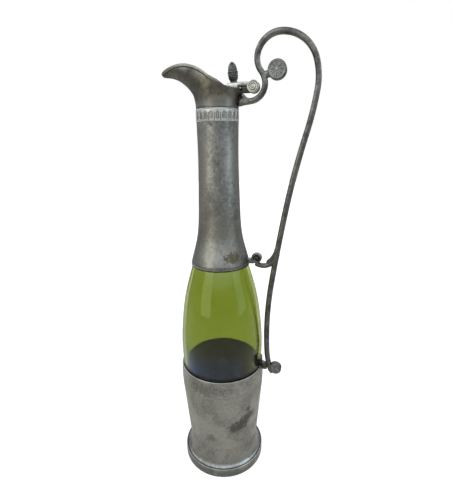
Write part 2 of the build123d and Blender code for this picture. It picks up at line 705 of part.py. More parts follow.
rim_lug_body = rim_lug.part.solids().sort_by(SortBy.VOLUME)[-1]
rim_lug_body.label = "rim_lug"
export_step(rim_lug_body, "parts/rim_lug.step")
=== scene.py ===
import logging
import math
from dataclasses import dataclass
from enum import Enum
from typing import Optional

import bmesh
import bpy
import numpy as np
from mathutils import Matrix, Vector


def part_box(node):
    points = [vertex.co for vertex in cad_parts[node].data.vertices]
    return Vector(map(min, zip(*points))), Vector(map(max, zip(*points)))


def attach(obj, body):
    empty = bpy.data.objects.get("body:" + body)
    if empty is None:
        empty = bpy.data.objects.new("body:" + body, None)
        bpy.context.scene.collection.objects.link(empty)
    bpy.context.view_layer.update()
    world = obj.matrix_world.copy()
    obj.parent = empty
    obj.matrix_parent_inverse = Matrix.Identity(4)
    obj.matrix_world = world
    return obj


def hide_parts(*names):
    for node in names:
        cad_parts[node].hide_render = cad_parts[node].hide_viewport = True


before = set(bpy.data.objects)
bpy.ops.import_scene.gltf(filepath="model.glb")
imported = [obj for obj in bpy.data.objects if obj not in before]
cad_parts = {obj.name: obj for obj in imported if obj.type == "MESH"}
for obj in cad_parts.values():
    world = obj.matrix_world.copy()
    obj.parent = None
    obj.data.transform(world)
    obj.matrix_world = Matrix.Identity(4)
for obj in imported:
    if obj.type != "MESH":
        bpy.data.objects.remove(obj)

"""Lidded green glass flagon with pewter mounts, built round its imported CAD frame.

Lengths are in millimetres up to the moment a mesh is made, which is in metres. +Z is up, the
spout points to -X, the handle stands at +X and the lid's hinge runs along Y.
"""

log = logging.getLogger("flagon")
MM = 0.001
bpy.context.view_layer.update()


class Body(Enum):
    """The two moving bodies of the flagon."""

    FLAGON = "flagon"
    LID = "lid"


class Slot(Enum):
    """Material slots."""

    PEWTER = "pewter"
    HANDLE = "handle_pewter"
    GLASS = "green_glass"
    PLASTER = "plaster"
    PIN = "pin_brass"


def low(node: str) -> np.ndarray:
    """Lowest corner of a CAD node in millimetres."""
    return np.array(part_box(node)[0]) / MM


def high(node: str) -> np.ndarray:
    """Highest corner of a CAD node in millimetres."""
    return np.array(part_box(node)[1]) / MM


def middle(node: str) -> np.ndarray:
    """Centre of a CAD node's box in millimetres."""
    return (low(node) + high(node)) / 2


# ---- Lines and profiles ------------------------------------------------------------------


def smooth_values(knots: np.ndarray, values: np.ndarray, at: np.ndarray) -> np.ndarray:
    """Natural cubic spline through values at knots.

    The second derivatives M solve the tridiagonal system
    h[i-1] M[i-1] + 2 (h[i-1] + h[i]) M[i] + h[i] M[i+1] = 6 (slope[i] - slope[i-1]),
    and are zero at both ends.

    Args:
        knots: Increasing knot positions, length n.
        values: Values at the knots, shape (n,) or (n, k).
        at: Positions to evaluate, any shape.

    Returns:
        The spline's values at those positions.
    """
    values = values.reshape(len(knots), -1)
    step = np.diff(knots)
    slope = np.diff(values, axis=0) / step[:, None]
    n = len(knots)
    matrix = np.eye(n)
    right = np.zeros_like(values)
    inner = np.arange(1, n - 1)
    matrix[inner, inner - 1] = step[:-1]
    matrix[inner, inner] = 2 * (step[:-1] + step[1:])
    matrix[inner, inner + 1] = step[1:]
    right[1:-1] = 6 * np.diff(slope, axis=0)
    bend = np.linalg.solve(matrix, right)
    i = np.clip(np.searchsorted(knots, at) - 1, 0, n - 2)
    h = step[i][..., None]
    a = (knots[i + 1] - at)[..., None]
    b = (at - knots[i])[..., None]
    return (bend[i] * a**3 + bend[i + 1] * b**3) / (6 * h) + (values[i] / h - bend[i] * h / 6) * a \
        + (values[i + 1] / h - bend[i + 1] * h / 6) * b


def curve(knots: tuple[float, ...], values: tuple[float, ...], at: np.ndarray) -> np.ndarray:
    """Natural cubic spline of one plain value, at the given places."""
    return smooth_values(np.array(knots), np.array(values), at)[..., 0]


def bell(distance: np.ndarray, width: float) -> np.ndarray:
    """Gaussian of a distance: one in the middle and 1/e at the given width."""
    return np.exp(-((distance / width) ** 2))


def rounded(wave: np.ndarray, power: float) -> np.ndarray:
    """Wave raised to a power with its sign kept, as in a superellipse."""
    return np.sign(wave) * np.abs(wave) ** power


def angles(count: int) -> np.ndarray:
    """Row of evenly spaced angles round a whole turn."""
    return np.linspace(0, 2 * np.pi, count, endpoint=False)[None, :]


def circled(radius: np.ndarray, height: np.ndarray, angle: np.ndarray) -> np.ndarray:
    """Points at a radius and a height round Z, for each angle of a row."""
    parts = np.broadcast_arrays(radius * np.cos(angle), radius * np.sin(angle), height)
    return np.stack(parts, -1)


def smooth_line(points: np.ndarray, count: int) -> np.ndarray:
    """Spline through points, by chord length, sampled at count places.

    Args:
        points: The points to pass through, shape (n, k).
        count: Number of samples.

    Returns:
        Samples from the first point to the last, shape (count, k).
    """
    points = np.asarray(points, float)
    chord = np.append(0, np.cumsum(np.linalg.norm(np.diff(points, axis=0), axis=1)))
    return smooth_values(chord, points, np.linspace(0, chord[-1], count))


def eased(points: np.ndarray, radius: float, closed: bool = True, cuts: int = 4) -> np.ndarray:
    """Polygon with each corner replaced by a short quadratic Bezier.

    A corner P becomes (1-s)^2 A + 2 s (1-s) P + s^2 B, where A and B lie on its two edges, radius
    away from it or four tenths of the edge if that is nearer.

    Args:
        points: Corners, shape (n, k).
        radius: Distance along each edge that is eased, in millimetres.
        closed: Whether the last corner joins the first. An open line keeps its two ends.
        cuts: Points per eased corner.

    Returns:
        The eased line, shape (n * cuts, k), or with its two ends added if it is open.
    """
    points = np.asarray(points, float)
    before = np.roll(points, 1, axis=0) - points
    after = np.roll(points, -1, axis=0) - points
    share_a = np.minimum(radius / np.maximum(np.linalg.norm(before, axis=1), 1e-9), 0.4)[:, None]
    share_b = np.minimum(radius / np.maximum(np.linalg.norm(after, axis=1), 1e-9), 0.4)[:, None]
    s = np.linspace(0, 1, cuts)[None, :, None]
    start = (points + before * share_a)[:, None, :]
    end = (points + after * share_b)[:, None, :]
    curve = (1 - s) ** 2 * start + 2 * s * (1 - s) * points[:, None, :] + s**2 * end
    if closed:
        return curve.reshape(-1, points.shape[1])
    return np.vstack([points[:1], curve[1:-1].reshape(-1, points.shape[1]), points[-1:]])


def finer(points: np.ndarray, step: float, closed: bool = True) -> np.ndarray:
    """Line with extra points, so that no gap is longer than about step.

    Args:
        points: The line's points, shape (n, k).
        step: Longest gap wanted, in millimetres.
        closed: Whether the last point joins the first.

    Returns:
        The same line with its own points kept and more between them.
    """
    line = np.vstack([points, points[:1]]) if closed else np.asarray(points, float)
    along = np.append(0, np.cumsum(np.linalg.norm(np.diff(line, axis=0), axis=1)))
    keep = np.append(True, np.diff(along) > 1e-6)
    line, along = line[keep], along[keep]
    even = np.linspace(0, along[-1], max(2, int(along[-1] / step)))
    clear = np.abs(even[:, None] - along[None, :]).min(1) > 0.3 * step
    at = np.sort(np.append(along, even[clear]))
    dense = np.stack([np.interp(at, along, line[:, k]) for k in range(line.shape[1])], 1)
    return dense[:-1] if closed else dense


def bend_line(start: tuple[float, float], heading: float, bends: np.ndarray,
              step: float) -> np.ndarray:
    """Line made of arcs that follow each other tangentially, in the X-Z plane.

    The heading is a piecewise linear function of the length along the line, and the place is
    the integral of its cosine and sine.

    Args:
        start: First point (x, z).
        heading: First direction in degrees from +X towards +Z.
        bends: Rows of (radius, turn in degrees).
        step: Spacing of the points that come back, in millimetres.

    Returns:
        Rows of (x, z, heading in radians).
    """
    turns = np.radians(bends[:, 1])
    ends = np.append(0, np.cumsum(bends[:, 0] * np.abs(turns)))
    headings = math.radians(heading) + np.append(0, np.cumsum(turns))
    fine = np.linspace(0, ends[-1], int(ends[-1] / 0.02))
    angle = np.interp(fine, ends, headings)
    mid = (angle[1:] + angle[:-1]) / 2
    x = start[0] + np.append(0, np.cumsum(np.cos(mid) * np.diff(fine)))
    z = start[1] + np.append(0, np.cumsum(np.sin(mid) * np.diff(fine)))
    at = np.linspace(0, ends[-1], int(ends[-1] / step) + 2)
    return np.stack([np.interp(at, fine, x), np.interp(at, fine, z), np.interp(at, fine, angle)], 1)


# ---- Meshes ------------------------------------------------------------------------------


def grid_faces(rows: int, columns: int, wrap_rows: bool, wrap_columns: bool) -> np.ndarray:
    """Quads of a grid whose vertices are numbered row by row.

    Args:
        rows: Rows of vertices.
        columns: Vertices in a row.
        wrap_rows: Whether the last row joins the first.
        wrap_columns: Whether the last column joins the first.

    Returns:
        Four vertex numbers per quad.
    """
    r = np.arange(rows if wrap_rows else rows - 1)[:, None]
    c = np.arange(columns if wrap_columns else columns - 1)[None, :]
    r2, c2 = (r + 1) % rows, (c + 1) % columns
    corners = [r * columns + c, r * columns + c2, r2 * columns + c2, r2 * columns + c]
    return np.stack(corners, -1).reshape(-1, 4)


@dataclass
class Shell:
    """Points and faces of one closed surface, with a relief value per point.

    Relief runs from -1 in the deepest recess to 1 on the highest ridge, and the finishes read it:
    they paint shade where it is low and rubbed wear with painted highlights where it is high.
    """

    points: np.ndarray
    faces: np.ndarray
    relief: np.ndarray

    @staticmethod
    def grid(points: np.ndarray, wrap_rows: bool, wrap_columns: bool,
             relief: Optional[np.ndarray] = None) -> "Shell":
        """Shell over a grid of points.

        Args:
            points: Points with shape (rows, columns, 3).
            wrap_rows: Whether the last row joins the first.
            wrap_columns: Whether the last column joins the first.
            relief: Values that broadcast to (rows, columns). None is level.

        Returns:
            The shell.
        """
        rows, columns = points.shape[:2]
        values = np.broadcast_to(0.0 if relief is None else relief, (rows, columns))
        return Shell(points.reshape(-1, 3), grid_faces(rows, columns, wrap_rows, wrap_columns),
                     values.reshape(-1).astype(float))

    def __add__(self, other: "Shell") -> "Shell":
        """Both surfaces side by side in one mesh."""
        return Shell(np.vstack([self.points, other.points]),
                     np.vstack([self.faces, other.faces + len(self.points)]),
                     np.append(self.relief, other.relief))


def turned(profile: np.ndarray, segments: int, closed: bool = True,
           relief: Optional[np.ndarray] = None) -> Shell:
    """Surface of revolution about Z.

    A point (r, z) of the profile becomes (r cos a, r sin a, z) for each angle a.

    Args:
        profile: Rows of (radius, height).
        segments: Steps round the axis.
        closed: Whether the profile is a closed ring. An open one starts and ends on the axis.
        relief: Value per profile point.

    Returns:
        The surface.
    """
    points = circled(profile[:, :1], profile[:, 1:], angles(segments))
    return Shell.grid(points, closed, True, None if relief is None else relief[:, None])


def capped(grid: np.ndarray, relief: np.ndarray, *ends: tuple[np.ndarray, np.ndarray]) -> Shell:
    """Tube over a grid that wraps along its rows, with strips that close its ends.

    Args:
        grid: Points with shape (rows, columns, 3).
        relief: Values with shape (rows, columns).
        ends: Pairs of lines. A strip runs between the two of each pair.

    Returns:
        The closed surface.
    """
    shell = Shell.grid(grid, True, False, relief)
    for pair in ends:
        shell = shell + Shell.grid(np.stack(pair), False, False)
    return shell


def placed(shell: Shell, origin: np.ndarray, axis: np.ndarray) -> Shell:
    """Shell made about Z at the origin, turned so that Z becomes axis and moved to origin."""
    turn = np.array(Vector(axis).to_track_quat("Z", "Y").to_matrix())
    return Shell(shell.points @ turn.T + np.asarray(origin), shell.faces, shell.relief)


def bar(route: np.ndarray, half_in: np.ndarray, half_y: np.ndarray, square: float, around: int,
        dome: float) -> Shell:
    """Bar swept along a line in the X-Z plane, with both ends domed.

    Its section is a superellipse: in the plane c = sign(cos a) |cos a|^(2/square) times half_in,
    and along Y the same with the sine times half_y. Near each end the section shrinks as a
    quarter circle of length dome times half_in.

    Args:
        route: Rows of (x, z, heading).
        half_in: Half size in the plane at each row.
        half_y: Half size along Y at each row.
        square: Exponent of the superellipse. Two is an ellipse.
        around: Points round the section.
        dome: Length of each end's dome, in half sizes.

    Returns:
        The closed surface.
    """
    q = np.linspace(0, np.pi / 2, 7)[:-1]
    rings = len(q)
    normal = np.stack([-np.sin(route[:, 2]), np.cos(route[:, 2])], 1)
    along = np.stack([np.cos(route[:, 2]), np.sin(route[:, 2])], 1)
    first = route[0, :2] - along[0] * np.cos(q)[:, None] * dome * half_in[0]
    last = route[-1, :2] + along[-1] * np.cos(q)[::-1, None] * dome * half_in[-1]
    centre = np.vstack([first, route[:, :2], last])
    normal = np.vstack([np.repeat(normal[:1], rings, 0), normal, np.repeat(normal[-1:], rings, 0)])
    scale = np.concatenate([np.sin(q), np.ones(len(route)), np.sin(q)[::-1]])
    size_in, size_y = (np.pad(half, rings, "edge") * scale for half in (half_in, half_y))
    a = angles(around)
    c, s = rounded(np.cos(a), 2 / square), rounded(np.sin(a), 2 / square)
    flat = centre[:, None, :] + normal[:, None, :] * (size_in[:, None] * c)[..., None]
    y = size_y[:, None] * s
    points = np.stack([flat[..., 0], y, flat[..., 1]], -1)
    return Shell.grid(points, False, True)


def slab(outline: np.ndarray, half: float, edge: float, relief: float = 0.0) -> Shell:
    """Flat body with a rounded edge, standing in the X-Z plane and centred on Y = 0.

    Each ring is the outline moved inwards along its vertex normals by edge (1 - cos q) at
    y = half - edge (1 - sin q), with q from nought to a quarter turn, on both faces. The two
    faces close on the outline's centroid.

    Args:
        outline: Closed polygon, rows of (x, z).
        half: Half thickness along Y.
        edge: Radius of the rounded edge.
        relief: Relief value of the flat faces.

    Returns:
        The closed surface.
    """
    after = np.roll(outline, -1, axis=0) - outline
    before = outline - np.roll(outline, 1, axis=0)
    run = sum(side / np.linalg.norm(side, axis=1)[:, None] for side in (after, before))
    inward = np.stack([-run[:, 1], run[:, 0]], 1) / np.linalg.norm(run, axis=1)[:, None]
    x, z = outline.T
    area = np.sum(x * np.roll(z, -1) - np.roll(x, -1) * z)
    inward *= np.sign(area)
    q = np.linspace(0, np.pi / 2, 5)
    move = edge * (1 - np.cos(q))
    y = half - edge * (1 - np.sin(q))
    centroid = outline.mean(0)
    rings = [outline + inward * m for m in move]
    inner = rings[-1]
    shrink = [centroid + (inner - centroid) * k for k in (0.66, 0.33, 0.0)]
    flat = np.array(rings + shrink)
    depth = np.concatenate([y, np.full(3, half)])
    values = np.concatenate([np.zeros(5), np.full(3, relief)])
    flat = np.concatenate([flat[::-1], flat])
    depth = np.concatenate([-depth[::-1], depth])
    values = np.concatenate([values[::-1], values])
    points = np.stack([flat[..., 0], np.repeat(depth[:, None], flat.shape[1], 1), flat[..., 1]], -1)
    return Shell.grid(points, False, True, values[:, None])


def linked(name: str, data: bpy.types.ID) -> bpy.types.Object:
    """New object in the scene."""
    made = bpy.data.objects.new(name, data)
    bpy.context.scene.collection.objects.link(made)
    return made


def finish_mesh(name: str, shell: Shell, body: Body, material: bpy.types.Material,
                replaces: tuple[str, ...] = (), crease: float = 50.0) -> bpy.types.Object:
    """Makes the object of one piece, closes its seams and poles, and hangs it on its body.

    Args:
        name: The piece's name.
        shell: Its surface, in millimetres.
        body: The body it moves with.
        material: Its finish.
        replaces: CAD nodes it stands for.
        crease: Angle in degrees above which an edge stays sharp.

    Returns:
        The new object.
    """
    mesh = bpy.data.meshes.new(name)
    mesh.from_pydata((shell.points * MM).tolist(), [], shell.faces.tolist())
    attribute = mesh.attributes.new("relief", "FLOAT", "POINT")
    attribute.data.foreach_set("value", shell.relief.astype(np.float32))
    work = bmesh.new()
    work.from_mesh(mesh)
    bmesh.ops.remove_doubles(work, verts=work.verts, dist=2e-6)
    bmesh.ops.dissolve_degenerate(work, edges=work.edges, dist=1e-7)
    bmesh.ops.recalc_face_normals(work, faces=work.faces)
    work.to_mesh(mesh)
    work.free()
    mesh.shade_smooth()
    mesh.set_sharp_from_angle(angle=math.radians(crease))
    mesh.materials.append(material)
    piece = linked(name, mesh)
    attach(piece, body.value)
    if replaces:
        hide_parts(*replaces)
    log.info("%s: %d vertices, %d faces, on %s", name, len(mesh.vertices), len(mesh.polygons), body.value)
    return piece


# ---- Finishes ----------------------------------------------------------------------------


Colour = tuple[float, float, float]
Place = tuple[float, float, float]
FLOAT, VECTOR = "NodeSocketFloat", "NodeSocketVector"


class Wiring:
    """Places nodes in one node tree and joins them."""

    def __init__(self, tree: bpy.types.NodeTree) -> None:
        """Starts on an empty tree."""
        self.tree = tree
        self.tree.nodes.clear()

    def put(self, kind: str, inputs: Optional[dict] = None, **settings: object) -> bpy.types.Node:
        """Adds a node.

        Args:
            kind: Blender's name of the node type.
            inputs: Input name or number to a socket, which is linked, or to a plain value. A
                colour is given as three numbers and made opaque.
            settings: The node's own properties.

        Returns:
            The node.
        """
        node = self.tree.nodes.new(kind)
        for name, value in settings.items():
            setattr(node, name, value)
        for key, value in (inputs or {}).items():
            socket = node.inputs[key]
            if isinstance(value, bpy.types.NodeSocket):
                self.tree.links.new(value, socket)
            else:
                socket.default_value = (*value, 1.0) if socket.type == "RGBA" else value
        return node

    def maths(self, operation: str, a: object, b: object, clamp: bool = False) -> bpy.types.NodeSocket:
        """Result of a Math node."""
        return self.put("ShaderNodeMath", {0: a, 1: b}, operation=operation, use_clamp=clamp).outputs[0]

    def plus(self, a: object, b: object, clamp: bool = False) -> bpy.types.NodeSocket:
        """Sum of two values."""
        return self.maths("ADD", a, b, clamp)

    def minus(self, a: object, b: object) -> bpy.types.NodeSocket:
        """Difference of two values."""
        return self.maths("SUBTRACT", a, b)

    def times(self, a: object, b: object) -> bpy.types.NodeSocket:
        """Product of two values."""
        return self.maths("MULTIPLY", a, b)

    def vector(self, operation: str, a: object, b: object = (0.0, 0.0, 0.0)) -> bpy.types.Node:
        """Vector Math node."""
        return self.put("ShaderNodeVectorMath", {0: a, 1: b}, operation=operation)

    def ramp(self, value: object, start: object, end: object,
             to: tuple[float, float] = (0.0, 1.0)) -> bpy.types.NodeSocket:
        """Value eased from start to end onto another range, held at both ends."""
        node = self.put("ShaderNodeMapRange", {"Value": value, "From Min": start, "From Max": end,
                                               "To Min": to[0], "To Max": to[1]},
                        interpolation_type="SMOOTHSTEP")
        return node.outputs[0]

    def blend(self, share: object, a: object, b: object) -> bpy.types.NodeSocket:
        """Colour between a and b."""
        return self.put("ShaderNodeMix", {0: share, 6: a, 7: b}, data_type="RGBA").outputs[2]

    def noise(self, where: object, scale: object, detail: float = 4.0, rough: float = 0.55,
              twist: float = 0.0) -> bpy.types.NodeSocket:
        """Fractal noise value at a place."""
        return self.put("ShaderNodeTexNoise", {"Vector": where, "Scale": scale, "Detail": detail,
                                               "Roughness": rough, "Distortion": twist}).outputs[0]

    def bump(self, height: object, strength: float, distance: float) -> bpy.types.NodeSocket:
        """Normal bent by a height, with its distance in metres."""
        return self.put("ShaderNodeBump", {"Height": height, "Strength": strength,
                                           "Distance": distance}).outputs[0]

    def principled(self, inputs: dict) -> None:
        """Principled shader on the material's output."""
        shader = self.put("ShaderNodeBsdfPrincipled", inputs)
        self.put("ShaderNodeOutputMaterial", {"Surface": shader.outputs[0]})


def new_material(name: str) -> tuple[bpy.types.Material, Wiring]:
    """Empty material and its wiring."""
    made = bpy.data.materials.new(name)
    made.use_nodes = True
    return made, Wiring(made.node_tree)


def object_place(w: Wiring) -> bpy.types.NodeSocket:
    """Object coordinates."""
    return w.put("ShaderNodeTexCoord").outputs["Object"]


Started = tuple[bpy.types.NodeTree, Wiring, bpy.types.Node, bpy.types.Node]


def node_group(name: str, inputs: dict, outputs: tuple[str, ...]) -> Started:
    """Starts a shader node group.

    Args:
        name: Its name.
        inputs: Input name to (socket type, default).
        outputs: Names of its outputs, which are all plain values.

    Returns:
        The group, its wiring, its input node and its output node.
    """
    tree = bpy.data.node_groups.new(name, "ShaderNodeTree")
    for key, (kind, default) in inputs.items():
        socket = tree.interface.new_socket(key, in_out="INPUT", socket_type=kind)
        socket.default_value = default
    for key in outputs:
        tree.interface.new_socket(key, in_out="OUTPUT", socket_type=FLOAT)
    wiring = Wiring(tree)
    return tree, wiring, wiring.put("NodeGroupInput"), wiring.put("NodeGroupOutput")


def tarnish_group() -> bpy.types.NodeTree:
    """Group for old pewter's clouds, darker oxide blotches, pits, painted shade in recesses and rubbed
    ridges with painted highlights.

    Tone is a slow cloud plus a finer mottle about one half. Oxide is a mask of irregular
    blotches. Relief from the piece's attribute paints shade into recesses, gaps, undersides
    and insides, and brightens ridges for rubbed wear and painted highlights. Grain is
    a fine height for Bump.
    """
    tree, w, given, result = node_group(
        "tarnish", {"Vector": (VECTOR, (0.0, 0.0, 0.0)), "Clouds": (FLOAT, 45.0),
                    "Blotches": (FLOAT, 120.0), "Cover": (FLOAT, 0.5), "Relief": (FLOAT, 0.0)},
        ("Tone", "Oxide", "PaintedShade", "WearAndHighlight", "Pits", "Grain"))
    where, relief = given.outputs["Vector"], given.outputs["Relief"]
    cloud = w.noise(where, given.outputs["Clouds"], 5.0, 0.6, 0.8)
    mottle = w.noise(where, 420.0, 6.0, 0.65, 0.4)
    blotch = w.noise(where, given.outputs["Blotches"], 7.0, 0.68, 1.4)
    level = w.minus(1.0, given.outputs["Cover"])
    cells = w.put("ShaderNodeTexVoronoi", {"Vector": where, "Scale": 900.0, "Randomness": 1.0})
    outs = {
        "Tone": w.plus(w.times(cloud, 0.62), w.times(mottle, 0.38)),
        "Oxide": w.ramp(blotch, level, w.plus(level, 0.14)),
        # painted shade where the relief attribute is low: recesses, gaps, undersides and insides
        "PaintedShade": w.ramp(relief, 0.0, -0.7),
        # rubbed wear and painted highlights where the relief attribute is high
        "WearAndHighlight": w.ramp(relief, 0.0, 0.8),
        "Pits": w.times(w.ramp(cells.outputs["Distance"], 0.0, 0.28, (1.0, 0.0)),
                        w.ramp(w.noise(where, 260.0, 3.0), 0.5, 0.66)),
        "Grain": w.plus(w.times(w.noise(where, 1500.0, 5.0, 0.7), 0.5), w.times(mottle, 0.8)),
    }
    for key, socket in outs.items():
        tree.links.new(socket, result.inputs[key])
    return tree


def patch_group() -> bpy.types.NodeTree:
    """Group for one colour patch (stain, painted shadow, painted reflection): a mask that is one at its
    centre and fades at a ragged edge.

    The distance from the centre is measured in units of the patch's reach on each axis and
    shifted by noise before it is eased from the edge inwards.
    """
    tree, w, given, result = node_group(
        "patch", {"Vector": (VECTOR, (0.0, 0.0, 0.0)), "Centre": (VECTOR, (0.0, 0.0, 0.0)),
                  "Reach": (VECTOR, (0.01, 0.01, 0.01)), "Ragged": (FLOAT, 0.8), "Scale": (FLOAT, 160.0)},
        ("Mask",))
    where = given.outputs["Vector"]
    offset = w.vector("SUBTRACT", where, given.outputs["Centre"]).outputs[0]
    share = w.vector("DIVIDE", offset, given.outputs["Reach"]).outputs[0]
    far = w.vector("LENGTH", share).outputs["Value"]
    ragged = w.noise(where, given.outputs["Scale"], 6.0, 0.65, 0.9)
    shift = w.times(w.minus(ragged, 0.5), w.times(given.outputs["Ragged"], 3.0))
    tree.links.new(w.ramp(w.plus(far, shift), 1.15, 0.45), result.inputs["Mask"])
    return tree


@dataclass(frozen=True)
class ColourPatch:
    """A patch of another colour: its centre and reach in millimetres, colour and strength."""

    centre: Place
    reach: Place
    colour: Colour
    strength: float = 0.7
    ragged: float = 0.8
    scale: float = 160.0


@dataclass(frozen=True)
class Pewter:
    """Old pewter: its light and dark tones, oxide, painted shade, dullness, stains and painted patches."""

    name: str
    light: Colour
    dark: Colour
    oxide: Colour = (0.055, 0.052, 0.045)
    # colour of the painted shade in recesses, gaps, undersides and insides
    painted_shade: Colour = (0.025, 0.024, 0.02)
    clouds: float = 45.0
    blotches: float = 120.0
    cover: float = 0.42
    oxide_strength: float = 0.45
    rough: float = 0.40
    bump: float = 0.25
    stains_and_painted_light: tuple[ColourPatch, ...] = ()

    def with_patches(self, w: Wiring, where: bpy.types.NodeSocket, colour: bpy.types.NodeSocket,
                patch: bpy.types.NodeTree) -> bpy.types.NodeSocket:
        """Colour with every stain, painted shadow and painted reflection laid over it.

        Args:
            w: Wiring of the material.
            where: Object coordinates.
            colour: Colour below the stains and painted patches.
            patch: Shared group of one colour patch.

        Returns:
            The patched colour.
        """
        for patch_spec in self.stains_and_painted_light:
            spot = w.put("ShaderNodeGroup", {
                "Vector": where, "Centre": [x * MM for x in patch_spec.centre],
                "Reach": [x * MM for x in patch_spec.reach], "Ragged": patch_spec.ragged,
                "Scale": patch_spec.scale}, node_tree=patch)
            colour = w.blend(w.times(spot.outputs[0], patch_spec.strength), colour, patch_spec.colour)
        return colour

    def material(self, groups: dict[str, bpy.types.NodeTree]) -> bpy.types.Material:
        """Material of this pewter, on Object coordinates.

        The colour is built up from the tone, then oxide, stains and painted patches, pits, painted
        shade in recesses, and rubbed wear with painted highlights on ridges.

        Args:
            groups: The shared groups, by name.

        Returns:
            The material.
        """
        made, w = new_material(self.name)
        where = object_place(w)
        relief = w.put("ShaderNodeAttribute", attribute_name="relief").outputs["Fac"]
        old = w.put("ShaderNodeGroup", {
            "Vector": where, "Relief": relief, "Clouds": self.clouds, "Blotches": self.blotches,
            "Cover": self.cover}, node_tree=groups["tarnish"]).outputs
        tone = w.ramp(old["Tone"], 0.36, 0.62)
        colour = w.blend(tone, self.dark, self.light)
        colour = w.blend(w.times(old["Oxide"], self.oxide_strength), colour, self.oxide)
        colour = self.with_patches(w, where, colour, groups["patch"])
        # pits are oxide; then painted shade on low relief, and rubbed wear with painted highlights on high
        # relief
        bright = tuple(min(1.0, x * 1.45) for x in self.light)
        for mask, strength, over in (("Pits", 0.7, self.oxide), ("PaintedShade", 0.88, self.painted_shade),
                                     ("WearAndHighlight", 0.7, bright)):
            colour = w.blend(w.times(old[mask], strength), colour, over)
        rough = w.plus(self.rough, w.times(w.minus(0.5, tone), 0.16))
        rough = w.plus(rough, w.times(old["Oxide"], 0.12), clamp=True)
        normal = w.bump(w.minus(old["Grain"], old["Pits"]), self.bump, 0.0004)
        w.principled({"Base Color": colour, "Roughness": rough, "Metallic": 1.0, "Normal": normal})
        return made


@dataclass(frozen=True)
class GreenGlass:
    """Old bottle glass: green with slow waves, and dark where it is seen edge on.

    The front just above the cup's rim has a painted blue reflection of the sky over the dark
    inside. Its share falls from one to nought between the two heights of reflection_z and
    between the two depths of reflection_y, in metres.
    """

    name: str
    green: Colour = (0.375, 0.425, 0.10)
    deeper: Colour = (0.32, 0.39, 0.08)
    painted_reflection_blue: Colour = (0.28, 0.42, 0.80)
    edge: Colour = (0.02, 0.035, 0.012)
    reflection_z: tuple[float, float] = (0.107, 0.14)
    reflection_y: tuple[float, float] = (-0.034, -0.02)

    def material(self) -> bpy.types.Material:
        """Material of the glass, on Object coordinates."""
        made, w = new_material(self.name)
        where = object_place(w)
        axes = w.put("ShaderNodeSeparateXYZ", {0: where}).outputs
        # painted reflection: blue over the front of the glass just above the cup's rim
        reflection_share = w.times(w.ramp(axes["Z"], *self.reflection_z, (1.0, 0.0)),
                       w.ramp(axes["Y"], *self.reflection_y, (1.0, 0.0)))
        colour = w.blend(reflection_share, self.green, self.painted_reflection_blue)
        colour = w.blend(w.ramp(w.noise(where, 30.0, 2.0), 0.35, 0.7, (0.0, 0.25)), colour, self.deeper)
        facing = w.put("ShaderNodeLayerWeight", {"Blend": 0.5}).outputs["Facing"]
        colour = w.blend(w.ramp(facing, 0.5, 0.92), colour, self.edge)
        normal = w.bump(w.noise(where, 22.0, 2.0), 0.12, 0.004)
        w.principled({"Base Color": colour, "Roughness": 0.0, "IOR": 1.45, "Specular IOR Level": 0.3,
                      "Transmission Weight": 1.0, "Normal": normal})
        return made


@dataclass(frozen=True)
class Plaster:
    """Set plaster: chalky, uneven and slightly stained."""

    name: str
    pale: Colour = (0.50, 0.48, 0.43)
    dirty: Colour = (0.42, 0.40, 0.35)

    def material(self) -> bpy.types.Material:
        """Material of the plaster, on Object coordinates."""
        made, w = new_material(self.name)
        where = object_place(w)
        colour = w.blend(w.ramp(w.noise(where, 60.0, 4.0, 0.55, 0.6), 0.4, 0.66), self.dirty, self.pale)
        w.principled({"Base Color": colour, "Roughness": 0.9,
                      "Normal": w.bump(w.noise(where, 300.0, 4.0, 0.6), 0.2, 0.0004)})
        return made


@dataclass(frozen=True)
class Brass:
    """Worn brass of the hinge pin."""

    name: str
    bare: Colour = (0.62, 0.44, 0.20)
    dull: Colour = (0.30, 0.20, 0.09)

    def material(self) -> bpy.types.Material:
        """Material of the pin, on Object coordinates."""
        made, w = new_material(self.name)
        spots = w.noise(object_place(w), 700.0, 5.0, 0.6, 0.5)
        w.principled({"Base Color": w.blend(w.ramp(spots, 0.4, 0.65), self.bare, self.dull),
                      "Metallic": 1.0, "Roughness": w.ramp(spots, 0.3, 0.7, (0.3, 0.5))})
        return made


WORN, DULL, SMOKE = (0.10, 0.104, 0.092), (0.105, 0.11, 0.096), (0.11, 0.116, 0.10)
CUP_STAINS = (
    ColourPatch((22.9, -29.7, 53.5), (10.5, 12.0, 7.5), WORN, 0.9, 0.6, 260.0),
    ColourPatch((27.3, -25.8, 58.5), (8.0, 9.0, 6.5), WORN, 0.9, 0.6, 260.0),
    ColourPatch((30.9, -21.3, 63.0), (7.0, 8.0, 5.5), DULL, 0.85, 0.6, 260.0),
    ColourPatch((30.1, -22.3, 71.0), (3.4, 4.0, 3.2), SMOKE, 0.8, 0.6, 300.0),
    ColourPatch((-5.0, -37.0, 97.0), (19.0, 14.0, 7.0), (0.085, 0.075, 0.06), 0.5, 1.2, 520.0),
    ColourPatch((-3.0, -35.0, 41.0), (6.0, 12.0, 5.0), (0.13, 0.13, 0.112), 0.6, 0.9, 260.0),
)
SLEEVE_STAINS_AND_REFLECTION = (
    ColourPatch((5.0, -20.0, 228.0), (45.0, 18.0, 32.0), (0.215, 0.20, 0.162), 0.5, 0.3, 45.0),
    ColourPatch((16.3, -18.2, 215.5), (9.5, 9.0, 5.5), (0.09, 0.068, 0.042), 0.85, 1.1, 420.0),
    # painted reflection: a tall, light, warm streak down the spout side of the sleeve
    ColourPatch((-10.0, -14.0, 285.0), (6.0, 12.0, 55.0), (0.44, 0.405, 0.32), 0.3, 0.8, 60.0),
)
